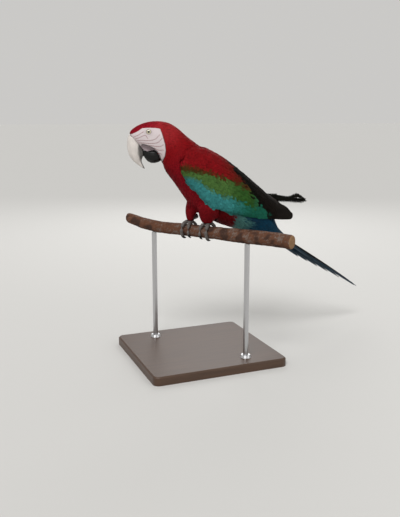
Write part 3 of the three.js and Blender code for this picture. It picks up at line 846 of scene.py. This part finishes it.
def lid(side, skin):
    """Two rings of lid skin round the eye, which run out into the face."""
    centre, _, gaze, across, over = eye_frame(side)
    turns = np.linspace(0, 2 * math.pi, 72, endpoint=False)
    rim = LID_OUT - abs(head_sight(centre)[2])
    points = []
    for radius, rise in LID:
        for turn in turns:
            out = (across * math.cos(turn) * 1.05 + over * math.sin(turn) * 0.95) * radius * MM
            level = rim
            if radius > LID_FREE:
                found = skin.seen_from(centre + out + gaze * 40 * MM, -gaze)[0]
                level = mix(rim, (found - centre) @ gaze, smoothstep(LID_FREE, LID_SETTLED, radius))[0]
            fold = 1 + 0.25 * math.sin(turn * 23 + radius) * (radius > 5.5)
            points.append(centre + out + gaze * (level + rise * fold * MM))
    faces = ring_faces(len(LID), len(turns), closed=True)
    mesh = mesh_of("lid", np.array(points), [faces if SIDES[side] < 0 else faces[:, ::-1]])
    ring = np.repeat([radius for radius, _ in LID], len(turns))
    set_colours(mesh, "tint", mix((0.30, 0.25, 0.25), FACE_WHITE, smoothstep(5.1, 6.3, ring)))
    return mesh


def foot_surface(side):
    surface = Surface(remeshed(["foot_" + side], 0.9 * MM), rounds=5)
    surface.grow(-0.15 * MM)
    surface.settle()
    return surface


def joined(name, meshes, material):
    """Several meshes with the same attributes as one object."""
    target = bmesh.new()
    for mesh in meshes:
        target.from_mesh(mesh)
    mesh = bpy.data.meshes.new(name)
    target.to_mesh(mesh)
    target.free()
    return shown(name, mesh, material)


skin_surface = body_skin()
feet = {side: foot_surface(side) for side in SIDES}
skin_parts = [skin_surface.mesh]
skin_parts += [feet[side].finished("foot", np.array(FOOT_GREY) * 0.6) for side in SIDES]
skin_parts += [lid(side, skin_surface) for side in SIDES]
skin = joined("skin", skin_parts, SKIN)
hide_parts(*FLESH, "foot_left", "foot_right")
coats = []

# ---- body coat ----
BODY_GAP = between((0, 1.15 * MM), (0.05, 1.45 * MM), (0.085, 1.8 * MM), (0.15, 2.9 * MM), (0.22, 4 * MM),
                   (0.30, 5 * MM))
BODY_LENGTH = between((0, 4.5 * MM), (0.05, 7 * MM), (0.10, 13 * MM), (0.2, 22 * MM), (0.3, 32 * MM),
                      (0.4, 48 * MM))
BODY_WIDTH = between((0, 0.62 * MM), (0.05, 0.85 * MM), (0.10, 1.2 * MM), (0.15, 1.6 * MM), (0.3, 2.8 * MM),
                     (0.4, 3.6 * MM))
BODY_DEPTH = between((0, 1.5 * MM), (0.05, 1.7 * MM), (0.10, 3.0 * MM), (0.2, 3.8 * MM), (0.4, 3.2 * MM))
SHOULDER_HEIGHT = 0.450  # above it the feathers keep their length beside the wings
BENDS = [[-0.0605, side * 0.0560, 0.4655] for side in SIDES.values()]  # the wings' foremost corners
BEND_REACH = 9 * MM  # this far from them, body feathers cover the wing too

form_along = SPINE.nearest(FORM_MIDDLES)
bend_distance = np.linalg.norm(FORM_MIDDLES[:, None] - np.array(BENDS), axis=2).min(1)
feathered = in_region("head", "neck", "trunk", "tail_coverts") | (bend_distance < BEND_REACH)
feathered &= face_distance(FORM_MIDDLES) < 0.5 * MM
BODY_COATS = {  # how far along the spine each piece runs, and the fan of blades in a feather
    "head_feathers": (-1, NECK_START, (0,)),
    "neck_feathers": (NECK_START, TRUNK_START, (-0.12, 0.12)),
    "trunk_feathers": (TRUNK_START, RUMP_START, (-0.2, 0, 0.2)),
    "rump_feathers": (RUMP_START, 1, (-0.12, 0, 0.12)),
}


def near_face(places):
    """Feathers grow smaller towards the bare face."""
    return np.interp(-face_distance(places), [0, 3 * MM, 12 * MM], [0.55, 0.7, 1])


def kept_short(roots, ways, lengths, *nodes):
    """Lengths cut back, step by step, where a feather would run onto any of those CAD nodes."""
    barred = in_region(*nodes)
    kept, clear = lengths * 0.3, np.ones(len(roots), bool)
    for share in (0.45, 0.6, 0.8, 1):
        clear &= ~barred[FORM.nearest(roots + ways * (lengths * share)[:, None])[2]]
        kept = np.where(clear, lengths * share, kept)
    return kept


def body_gap(places):
    """How far apart body feathers are rooted, closer towards the head and the bare face."""
    return BODY_GAP(SPINE.nearest(places)) * near_face(places)


for number, (name, (start, stop, fan)) in enumerate(BODY_COATS.items()):
    allowed = feathered & (form_along >= start) & (form_along < stop)
    roots = FORM.scattered(allowed, body_gap, seed=11 + number)
    roots = roots[face_distance(roots) < 0]
    ways, along, places = SPINE.flow(roots)
    small = near_face(roots)
    length = BODY_LENGTH(along) * small
    short = kept_short(roots, ways, length, "wing_left", "wing_right", "wingtip_left", "wingtip_right")
    depth = BODY_DEPTH(along) * small + np.where(short < length, 1.0 * MM, 0)
    length = np.where(roots[:, 2] > SHOULDER_HEIGHT, length, short)
    sizes = (length, BODY_WIDTH(along) * small, depth)
    coats.append(
        lay(name, roots, ways, places, sizes, TUFT, body_colours, BODY_FEATHER, seed=20 + 3 * number,
            fan=fan, barred=("wingtip_left", "wingtip_right"))
    )

# ---- lines of tiny feathers on the bare face ----
FACE_LINES = [  # each from the front to the back: ahead and height, in millimetres
    [(147, 515), (136, 519), (124, 526)],
    [(146, 511), (133, 514), (120, 519), (113, 512.5)],
    [(143, 507), (128, 508.5), (112, 508), (98, 511), (88, 520)],
    [(138, 503.5), (122, 503), (106, 502), (92, 504), (83, 512)],
    [(112, 498.5), (98, 496), (86, 496), (80, 499)],
    [(100, 492.5), (90, 487.5), (80, 488)],
    [(93, 482), (84, 479)],
]


def face_lines():
    """Rows of tiny feathers across the bare face, alike on both sides of the head."""
    roots, ways = [], []
    for chain in FACE_LINES:
        line = Line([(ahead * MM, height * MM, 0) for ahead, height in chain], 100)
        for distance in np.arange(0, line.length, 1.7 * MM):
            ahead, height, _ = line.at(distance)
            run, climb, _ = line.way(distance)
            for sign in SIDES.values():
                start = head_place(ahead, height, -sign * 80 * MM)
                hit = skin_surface.seen_from(start, sign * HEAD_LEFT)[0]
                if hit is not None:
                    roots.append(hit)
                    ways.append(HEAD_AHEAD * run + np.array([0, 0, climb - 0.35]))
    roots, ways = np.array(roots), unit(np.array(ways))
    places = SPINE.flow(roots)[2]
    sizes = (2.6 * MM, 0.30 * MM, 0.35 * MM)
    return lay("face_feathers", roots, ways, places, sizes, TUFT, all_of(BREAST_RED), BODY_FEATHER, seed=38,
               camber=0.2, thickness=0.25 * MM)


coats.append(face_lines())

# ---- thighs ----
for side, line in THIGH_LINES.items():
    roots = FORM.scattered(in_region("thigh_" + side), evenly(2.4 * MM), seed=31)
    ways, along, places = line.flow(roots)
    sizes = (between((0, 16 * MM), (line.length, 9 * MM))(along), 1.5 * MM, 2.3 * MM)
    coats.append(
        lay("thigh_feathers_" + side, roots, ways, places, sizes, TUFT, all_of(BELLY_RED), BODY_FEATHER,
            seed=36, fan=(-0.15, 0.15))
    )

# ---- wing coverts ----
COVERT_GAP = between((0, 2.4 * MM), (0.04, 3.4 * MM), (0.06, 4.4 * MM), (0.14, 6.2 * MM), (0.27, 8.5 * MM))
COVERT_LENGTH = between((0, 13 * MM), (0.06, 18 * MM), (0.14, 32 * MM), (0.2, 42 * MM), (0.27, 46 * MM))
COVERT_WIDTH = between((0, 3.3 * MM), (0.06, 4.3 * MM), (0.14, 6.2 * MM), (0.27, 8 * MM))
COVERT_REACH = 0.304  # along the wing, where the coverts end and the flight feathers show
COVERT_LEAST = 12 * MM
COVERT_DEPTH = 3.0 * MM
WING_LOW = between(  # the height of the wing's lower edge, from its x
    (-0.066, 0.463), (-0.058, 0.432), (-0.018, 0.390), (0.015, 0.361), (0.062, 0.346), (0.112, 0.337),
    (0.236, 0.318),
)
HANG = between((-0.04, 0.45), (0.06, 0.40), (0.16, 0.12))  # how far feathers turn down, from their x


def covert_ways(ways, roots, normals):
    """The feathers hang on the wing's side, and run with its lower edge and with the back."""
    x, z = roots[:, 0], roots[:, 2]
    above = (z - WING_LOW(x)) / MM
    edge = np.stack([np.full(len(x), 0.01), np.zeros(len(x)), WING_LOW(x + 0.01) - WING_LOW(x)], 1)
    hang = HANG(x) * smoothstep(0.25, 0.7, np.abs(normals[:, 1]))
    hung = unit(ways - np.array([0, 0, 1.0]) * hang[:, None])
    inland = np.maximum(smoothstep(2, 22, above), smoothstep(-0.030, -0.050, x) * 0.55)[:, None]
    return unit(hung * inland + unit(edge) * (1 - inland))


def covert_gap(places):
    """How far apart coverts are rooted, wider towards the wing's tip."""
    return COVERT_GAP(WING_SPINE.nearest(places))


for side, sign in SIDES.items():
    roots = FORM.scattered(in_region("wing_" + side), covert_gap, seed=41)
    ways, along, places = WING_SPINE.flow(roots)
    ways = covert_ways(ways, roots, FORM.nearest(roots)[1])
    length = np.minimum(COVERT_LENGTH(along), np.maximum(COVERT_REACH - along, COVERT_LEAST))
    length = kept_short(roots, ways, length, "trunk", "tail_coverts", "thigh_" + side)
    sizes = (length, COVERT_WIDTH(along) * 0.62, COVERT_DEPTH)
    coats.append(
        lay("coverts_" + side, roots, ways, places, sizes, BROAD, wing_colours, WING_FEATHER,
            seed=50 + 3 * sign, fan=(-0.15, 0, 0.15), wander=0.03, root_shade=0.42, thickness=0.25 * MM,
            tip_depth=-0.12)
    )

# ---- flight feathers: clipped square on the near wing's plan, mirrored for the far wing ----
QUILL_ALONG = np.concatenate([np.linspace(0, 0.94, 18), [0.97, 0.99, 1]])
QUILL_WIDTH = between((0, 0.3), (0.1, 0.7), (0.35, 0.95), (0.85, 1), (0.94, 0.96), (0.97, 0.86),
                      (0.99, 0.66), (1, 0.4))
CLIPPED = Vane(QUILL_ALONG, QUILL_WIDTH(QUILL_ALONG), RACHIS)
QUILL_COUNT = 11
QUILL_HALF_WIDTH = 9 * MM
QUILL_DEPTH = between((0, 5.5 * MM), (0.4, 4 * MM), (0.7, 1.1 * MM))
QUILL_SAG = 4  # millimetres, at the middle of a quill
QUILL_TILT = 0.10  # how far a quill leans, so that each lies over the next one down
ROOT_X, ROOT_Z = between((0, 98), (1, 90)), between((0, 401), (1, 350))  # millimetres, from the top
TIP_X = between((0, 190), (0.45, 221), (0.6, 226), (1, 236))
TIP_Z = between((0, 370), (0.45, 348), (0.6, 342), (1, 326))


def wing_quills():
    """Paths and normals of the near wing's flight feathers, from the top one to the lowest."""
    rank = np.linspace(0, 1, QUILL_COUNT)
    shell = in_region("wing_left", "wingtip_left")
    sag = QUILL_SAG * np.sin(math.pi * QUILL_ALONG)
    paths, normals = [], []
    for x0, z0, x1, z1 in zip(ROOT_X(rank), ROOT_Z(rank), TIP_X(rank), TIP_Z(rank)):
        x, z = (x0 + (x1 - x0) * QUILL_ALONG) * MM, (z0 + (z1 - z0) * QUILL_ALONG - sag) * MM
        hits = [FORM.seen_from((a, -0.2, c), (0, 1, 0)) for a, c in zip(x, z)]
        known = [k for k, (hit, face) in enumerate(hits) if hit is not None and shell[face]]
        seen = np.array([hits[k][0] for k in known])
        depth = np.polyfit(QUILL_ALONG[known], seen[:, 1], 2)
        paths.append(np.stack([x, np.polyval(depth, QUILL_ALONG), z], 1))
        slopes = np.polyfit(QUILL_ALONG[known], FORM.nearest(seen)[1], 1)
        normals.append(unit(QUILL_ALONG[:, None] * slopes[0] + slopes[1]))
    paths, normals = np.array(paths), np.array(normals)
    lean = QUILL_TILT + np.random.default_rng(60).normal(0, 0.015, (QUILL_COUNT, 1))
    return paths, turned(normals, unit(np.gradient(paths, axis=1)), lean)


quill_paths, quill_normals = wing_quills()
quill_depths = np.tile(QUILL_DEPTH(QUILL_ALONG), (QUILL_COUNT, 1))
# The upper quills are paler brown: a painted sheen on their tops.
quill_tints = mix(SHEEN_FAWN, BROWN_SOOT, smoothstep(0.15, 0.45, np.linspace(0, 1, QUILL_COUNT)))
quill_tints = quill_tints * np.random.default_rng(61).uniform(0.75, 1.3, (QUILL_COUNT, 1))
quill_tints = np.repeat(quill_tints[:, None], len(QUILL_ALONG), 1)
for side, sign in SIDES.items():
    turn = MIRROR if sign > 0 else 1
    coats.append(
        coat("quills_" + side, CLIPPED, quill_paths * turn, quill_normals * turn,
             half_widths=np.full(QUILL_COUNT, QUILL_HALF_WIDTH), depths=quill_depths, tints=quill_tints,
             places=np.stack([np.linspace(0.1, 0.9, QUILL_COUNT)] * 2, 1), material=QUILL_FEATHER,
             seed=62, camber=0.03, thickness=0.4 * MM, ragged=0.012)
    )
    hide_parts("wingtip_" + side)

# ---- the far wing's frayed and curled tips ----
CURLED = [  # where each runs, in millimetres, and its whole width there
    (
        [(150, 20, 372), (178, 16.5, 368), (205, 13.5, 365.5), (233, 11, 362.5), (268, 8, 358.5),
         (285, 6, 358.5)],
        (10, 16, 15, 12, 11, 6),
    ),
    (
        [(150, 17.4, 374), (180, 14.5, 370), (208, 12, 367.5), (240, 9.5, 364), (262, 7.5, 369.5),
         (283, 5.5, 361)],
        (10, 14, 13, 12, 10, 5),
    ),
    (
        [(150, 14.8, 376), (170, 13, 373.5), (190, 11, 373), (207, 9.5, 374.5)],
        (10, 12, 9, 4),
    ),
]
CURL_ALONG = np.linspace(0, 1, 20)
CURL_WIDTH = between((0, 0.6), (0.2, 1), (0.4, 0.93), (0.6, 0.68), (0.85, 0.5), (1, 0.15))
CURL_VANE = Vane(CURL_ALONG, CURL_WIDTH(CURL_ALONG), RACHIS)
BARB = Vane((0, 0.3, 0.7, 1), (0.7, 1, 0.8, 0.2), ROOF)
CURL_HALF_WIDTHS = np.array([5.2, 4.4, 3.8]) * MM
CURL_FACE = unit(np.array([0, -0.87, 0.5]))
BARB_LEAN = 1.0  # radians from square to the shaft


def curled_tips():
    """Worn feathers: a shaft with barbs on both sides that hold together in clumps and part."""
    rng = np.random.default_rng(63)
    paths, barbs, tints = [], [], []
    for points, widths in CURLED:
        shaft = Line(np.array(points) * MM, 160)
        paths.append(shaft.at(CURL_ALONG * shaft.length))
        places = shaft.nearest(np.array(points) * MM) / shaft.length
        for share in np.arange(0.05, 0.995, 0.5 * MM / shaft.length):
            at, way = shaft.at(share * shaft.length), shaft.way(share * shaft.length)
            across = np.cross(CURL_FACE, way)
            for side in (1, -1):
                clump = math.sin(share * shaft.length / MM * 0.9 + 2 * side) + rng.normal(0, 0.25)
                lean = BARB_LEAN + 0.16 * clump * smoothstep(0.2, 0.7, share)
                reach = np.interp(share, places, widths) * MM / 2
                length = reach / math.cos(BARB_LEAN) * rng.uniform(1.0, 1.15)
                t = np.array(BARB.along)[:, None]
                run = way * math.sin(lean) * t + across * side * math.cos(lean) * t**0.9
                curl = CURL_FACE * (rng.normal(0, 0.05) + 0.15 * share * clump) * t**2
                barbs.append(at + (run + curl) * length)
                tints.append(np.array(SOOT) * rng.uniform(0.7, 2.0))
    paths, barbs = np.array(paths), np.array(barbs)
    vanes = coat("curled_vanes", CURL_VANE, paths, np.broadcast_to(CURL_FACE, paths.shape),
                 half_widths=CURL_HALF_WIDTHS, depths=np.zeros(paths.shape[:2]),
                 tints=np.broadcast_to(SOOT, paths.shape), places=np.full((len(paths), 2), 0.5),
                 material=QUILL_FEATHER, seed=64, camber=0.1, thickness=0.5 * MM, ragged=0.08)
    frays = coat("curled_barbs", BARB, barbs, np.broadcast_to(CURL_FACE, barbs.shape),
                 half_widths=np.full(len(barbs), 0.5 * MM), depths=np.zeros(barbs.shape[:2]),
                 tints=np.repeat(np.array(tints)[:, None], 4, 1), places=np.full((len(barbs), 2), 0.5),
                 material=QUILL_FEATHER, seed=65, thickness=0.25 * MM)
    return [vanes, frays]


coats += curled_tips()

# ---- tail ----
TAIL_PAIRS = 6
TAIL_LENGTH, TAIL_SHORTER = 430, 225  # millimetres: the middle pair, and what the outer pair lacks
TAIL_STEP, TAIL_SAG = 1.4, 7  # millimetres: down from pair to pair, and at a feather's tip
TAIL_HALF_WIDTH = 14.2 * MM
TAIL_ALONG = np.concatenate([np.linspace(0, 0.9, 26), [0.94, 0.97, 0.99, 1]])
TAIL_WIDTH = between((0, 0.45), (0.2, 0.9), (0.4, 1), (0.6, 0.96), (0.8, 0.74), (0.93, 0.44), (1, 0.1))
TAIL_CUT = Vane(TAIL_ALONG, TAIL_WIDTH(TAIL_ALONG), RACHIS)


def tail_feathers():
    """Graduated pairs, the middle one longest, on top and red as far as its blue end."""
    paths, tints, order = [], [], []
    for rank in range(TAIL_PAIRS):
        share = rank / (TAIL_PAIRS - 1)
        length = (TAIL_LENGTH - TAIL_SHORTER * share**0.8) * MM
        for side in (1, -1):
            drop = (rank * TAIL_STEP + (0.4 if side > 0 else 0) + TAIL_SAG * TAIL_ALONG**2) * MM
            left = side * ((2.5 + 2.1 * rank) * MM + length * TAIL_ALONG * (0.004 + 0.014 * rank))
            paths.append([tail_place(length * t, d, a) for t, d, a in zip(TAIL_ALONG, drop, left)])
            blue_from = 0.72 - 0.8 * share
            tints.append(mix(TAIL_RED, DEEP_BLUE, smoothstep(blue_from, blue_from + 0.2, TAIL_ALONG)))
            order.append((0.5 + 0.08 * side * (rank + 1), 0.5))
    up = tail_place(0, -1) - tail_place(0)
    paths = np.array(paths)
    return coat(
        "tail_feathers", TAIL_CUT, paths, np.broadcast_to(up, paths.shape),
        half_widths=np.full(len(paths), TAIL_HALF_WIDTH), depths=np.zeros(paths.shape[:2]),
        tints=np.array(tints), places=np.array(order), material=QUILL_FEATHER, seed=66, camber=0.04,
        thickness=0.9 * MM, ragged=0.012)


tail = tail_feathers()
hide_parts("tail")


# ---- scales of the feet ----
SCALE_GAP = 1.35 * MM
SHANK_TOP = 0.342  # the scales end where the thigh's feathers begin


def foot_scales(side):
    surface = feet[side]
    every = np.ones(len(surface.triangles), bool)
    roots = surface.scattered(every, evenly(SCALE_GAP), seed=81)
    roots = roots[roots[:, 2] < SHANK_TOP]
    out = roots - np.array([0, 0, PERCH_HEIGHT])
    out -= PERCH_WAY * dot(out, PERCH_WAY)
    ways = np.cross(PERCH_WAY, unit(out))
    places = np.stack([np.arctan2(out[:, 0], out[:, 2]) / 6.3 + 0.5, (roots @ PERCH_WAY) * 4 + 0.5], 1)
    sizes = (2.5 * MM, 0.95 * MM, 0.25 * MM)
    return lay("foot_scales_" + side, roots, ways, places, sizes, TUFT, all_of(FOOT_GREY), SCALE, seed=83,
               surface=surface, camber=0.1, thickness=0.35 * MM, tip_shade=1.3)


coats += [foot_scales(side) for side in SIDES]


# ---- bill, eyes and claws ----
def smooth_horn(name, nodes, material, voxel, rounds, regain, colours):
    """A finer, evened-out copy of CAD nodes, grown back by what the evening took off."""
    surface = Surface(remeshed(nodes, voxel), rounds=rounds)
    surface.grow(regain)
    piece = shown(name, surface.finished(name, colours(surface.points)), material)
    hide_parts(*nodes)
    return piece


GREY_EDGE = between((452, 128), (465, 133), (475, 135.5), (490, 136.5), (505, 133), (512, 128))


def upper_bill_colours(points):
    """Pale horn in front, dark grey along the rear edge, whose place ahead goes by the height."""
    ahead, height, _ = head_sight(points)
    grey = smoothstep(2.5, -2.5, ahead / MM - GREY_EDGE(height / MM) + noise_field(points, 12 * MM, 90))
    tone = 1 + 0.06 * noise_field(points * np.array([1, 1, 0.3]), 6 * MM, 91)
    return mix(HORN, HORN_GREY, grey) * tone[:, None]


PUPIL = (0.004, 0.004, 0.004)
IRIS_INNER, IRIS_OUTER = (0.60, 0.55, 0.38), (0.42, 0.38, 0.25)
EYE_DARK = (0.02, 0.015, 0.012)


def eyeball(side):
    """A ball of rings round the way it looks, closest in front: pupil, pale iris, dark edge."""
    centre, radius, gaze, across, over = eye_frame(side)
    tilts = np.concatenate([np.linspace(2, 60, 24), np.linspace(66, 178, 20)])
    turns = np.linspace(0, 2 * math.pi, 48, endpoint=False)
    tilt, turn = np.meshgrid(np.radians(tilts), turns, indexing="ij")
    out = np.cos(turn)[..., None] * across + np.sin(turn)[..., None] * over
    ways = (np.cos(tilt)[..., None] * gaze + np.sin(tilt)[..., None] * out).reshape(-1, 3)
    faces = ring_faces(len(tilts), len(turns))
    caps = np.stack([np.arange(len(turns)), len(ways) - 1 - np.arange(len(turns))])
    if SIDES[side] > 0:
        faces, caps = faces[:, ::-1], caps[:, ::-1]
    mesh = mesh_of("eyeball", ways * radius * 0.99 + centre, [faces, caps])
    lean = np.degrees(np.arccos(np.clip(ways @ gaze, -1, 1)))
    iris = mix(IRIS_INNER, IRIS_OUTER, smoothstep(22, 34, lean))
    colours = mix(PUPIL, iris, smoothstep(16, 19, lean))
    set_colours(mesh, "tint", mix(colours, EYE_DARK, smoothstep(33, 36, lean)))
    piece = shown("eyeball_" + side, mesh, EYE)
    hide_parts("eye_" + side)
    return piece


CLAWS = [f"claw_{toe}_{side}" for side in SIDES
         for toe in ("front_inner", "front_outer", "back_outer", "back_inner")]
horns = [
    smooth_horn("bill_upper", ["upper_bill"], HORN_MATERIAL, 0.8 * MM, 10, 0.25 * MM, upper_bill_colours),
    smooth_horn("bill_lower", ["lower_bill"], DARK_HORN, 0.8 * MM, 8, 0.2 * MM, all_of(SLATE)),
    smooth_horn("claws", CLAWS, DARK_HORN, 0.6 * MM, 4, 0.1 * MM, all_of(SLATE)),
]
eyes = [eyeball(side) for side in SIDES]


# ---- perch ----
BARK_TINT = (0.100, 0.042, 0.023)
BARK_DARK = (0.045, 0.022, 0.015)
BARK_GREY = (0.140, 0.105, 0.088)
WOOD_TINT = (0.26, 0.15, 0.075)
SAWN_ENDS = (-0.232, 0.200)  # along the branch, beyond which a face across it is sawn wood
KNOTS = [  # place along the branch in millimetres, turn round it, size
    (-205, 0.4, 9), (-95, -0.8, 7), (48, 1.9, 5), (118, 0.2, 9), (172, -1.1, 7),
]


def perch():
    """The branch: uneven bark with knots, worn grey in places, and two sawn ends."""
    surface = Surface(remeshed(["perch"], 1.6 * MM), rounds=8)
    along = surface.points @ PERCH_WAY
    out = surface.points - np.array([0, 0, PERCH_HEIGHT]) - PERCH_WAY * along[:, None]
    turn = np.arctan2(dot(out, np.array([-math.cos(PERCH_TURN), -math.sin(PERCH_TURN), 0]))[:, 0], out[:, 2])
    sawn = np.abs(dot(surface.normals, PERCH_WAY)[:, 0]) > 0.75
    sawn &= (along < SAWN_ENDS[0]) | (along > SAWN_ENDS[1])
    rough = noise_field(surface.points, 26 * MM, 71) * 0.6 + noise_field(surface.points, 8 * MM, 72) * 0.4
    knot = np.zeros(len(along))
    for place, side, size in KNOTS:
        away = np.hypot(along / MM - place, 15 * np.angle(np.exp(1j * (turn - side)))) / size
        knot += np.exp(-away**2) * 1.6 - 2.2 * np.exp(-(away * 2.6) ** 2)
    surface.grow(np.where(sawn, 0, (-0.7 + 0.5 * rough + 0.45 * knot) * MM))
    patch = noise_field(surface.points, 40 * MM, 73) + 0.5 * noise_field(surface.points, 11 * MM, 74)
    flake = patch * 0.45 + 0.45 * noise_field(surface.points, 7 * MM, 75)
    flake = flake + 0.45 * noise_field(surface.points, 2.5 * MM, 76) - smoothstep(0, 0.08, along) * 0.12
    worn = smoothstep(0.30, 0.75, flake)
    colours = mix(BARK_TINT, BARK_DARK, smoothstep(0, 0.8, -patch))
    colours = mix(colours, BARK_GREY, worn)
    colours = mix(colours, BARK_DARK, np.clip(-knot, 0, 1))
    rings = 0.5 + 0.5 * np.sin(np.linalg.norm(out, axis=1) / MM * 2.6)
    colours = mix(colours, np.array(WOOD_TINT) * (0.7 + 0.3 * rings[:, None]), sawn)
    return shown("branch", surface.finished("branch", colours), BARK)


branch = perch()
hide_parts("perch")

# ---- stand ----
WALNUT = grained_material("walnut", 0.42, (1, 14, 14), 9.0, 0.9, 0.15, 0.3 * MM, tint=(0.060, 0.030, 0.016))
STEEL = grained_material("steel", 0.30, (40, 40, 1), 60.0, 0.25, 0.1, 0.05 * MM, tint=(0.55, 0.55, 0.56),
                         Metallic=1.0)
for name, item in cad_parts.items():
    if name.startswith("stand_"):
        item.data.materials.clear()
        item.data.materials.append(WALNUT if name == "stand_base" else STEEL)

for piece in [skin, *coats, tail, *horns, *eyes, branch]:
    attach(piece, "root")

# ---- camera, light and floor ----
CAMERA_PLACE = (-0.5522, -1.3760, 0.5558)
CAMERA_DOWN, CAMERA_RIGHT = 12.2, 22  # degrees, from looking level along +Y
FOCAL_LENGTH = 45.26
LAMPS_AIM = (0, 0, 0.38)
BACKDROP = (0.80, 0.79, 0.77, 1)
STAGE_HALF = 60

camera = bpy.data.objects.new("camera", bpy.data.cameras.new("camera"))
bpy.context.scene.collection.objects.link(camera)
camera.location = CAMERA_PLACE
camera.rotation_euler = (math.radians(90 - CAMERA_DOWN), 0, math.radians(-CAMERA_RIGHT))
camera.data.sensor_width = 36
camera.data.lens = FOCAL_LENGTH
camera.data.clip_end = 200
bpy.context.scene.camera = camera


def lamp(name, kind, place, power, **settings):
    light = bpy.data.lights.new(name, kind)
    light.energy = power
    for setting, value in settings.items():
        setattr(light, setting, value)
    piece = bpy.data.objects.new(name, light)
    piece.location = place
    aim = Vector(LAMPS_AIM) - Vector(place)
    piece.rotation_euler = aim.to_track_quat("-Z", "Y").to_euler()
    bpy.context.scene.collection.objects.link(piece)


lamp("key", "SUN", (-1.6, -1.9, 2.9), 2.0, angle=math.radians(24))
lamp("fill", "AREA", (1.2, -1.8, 1.0), 7, shape="DISK", size=1.6)
lamp("back", "AREA", (0.9, 2.0, 1.7), 16, shape="DISK", size=1.6)
world = bpy.data.worlds.new("studio")
world.use_nodes = True
world.node_tree.nodes["Background"].inputs["Color"].default_value = BACKDROP
world.node_tree.nodes["Background"].inputs["Strength"].default_value = 0.74
bpy.context.scene.world = world
bpy.context.scene.view_settings.view_transform = "Standard"

floor_corners = np.array([(-1, -1, 0), (1, -1, 0), (1, 1, 0), (-1, 1, 0)]) * STAGE_HALF
floor_mesh = mesh_of("floor", floor_corners, [np.array([[0, 1, 2, 3]])])
floor_finish = {"Base_Color": (0.575, 0.57, 0.555, 1), "Specular_IOR_Level": 0.1}
shown("floor", floor_mesh, material_of("floor", 0.9, **floor_finish)[0])
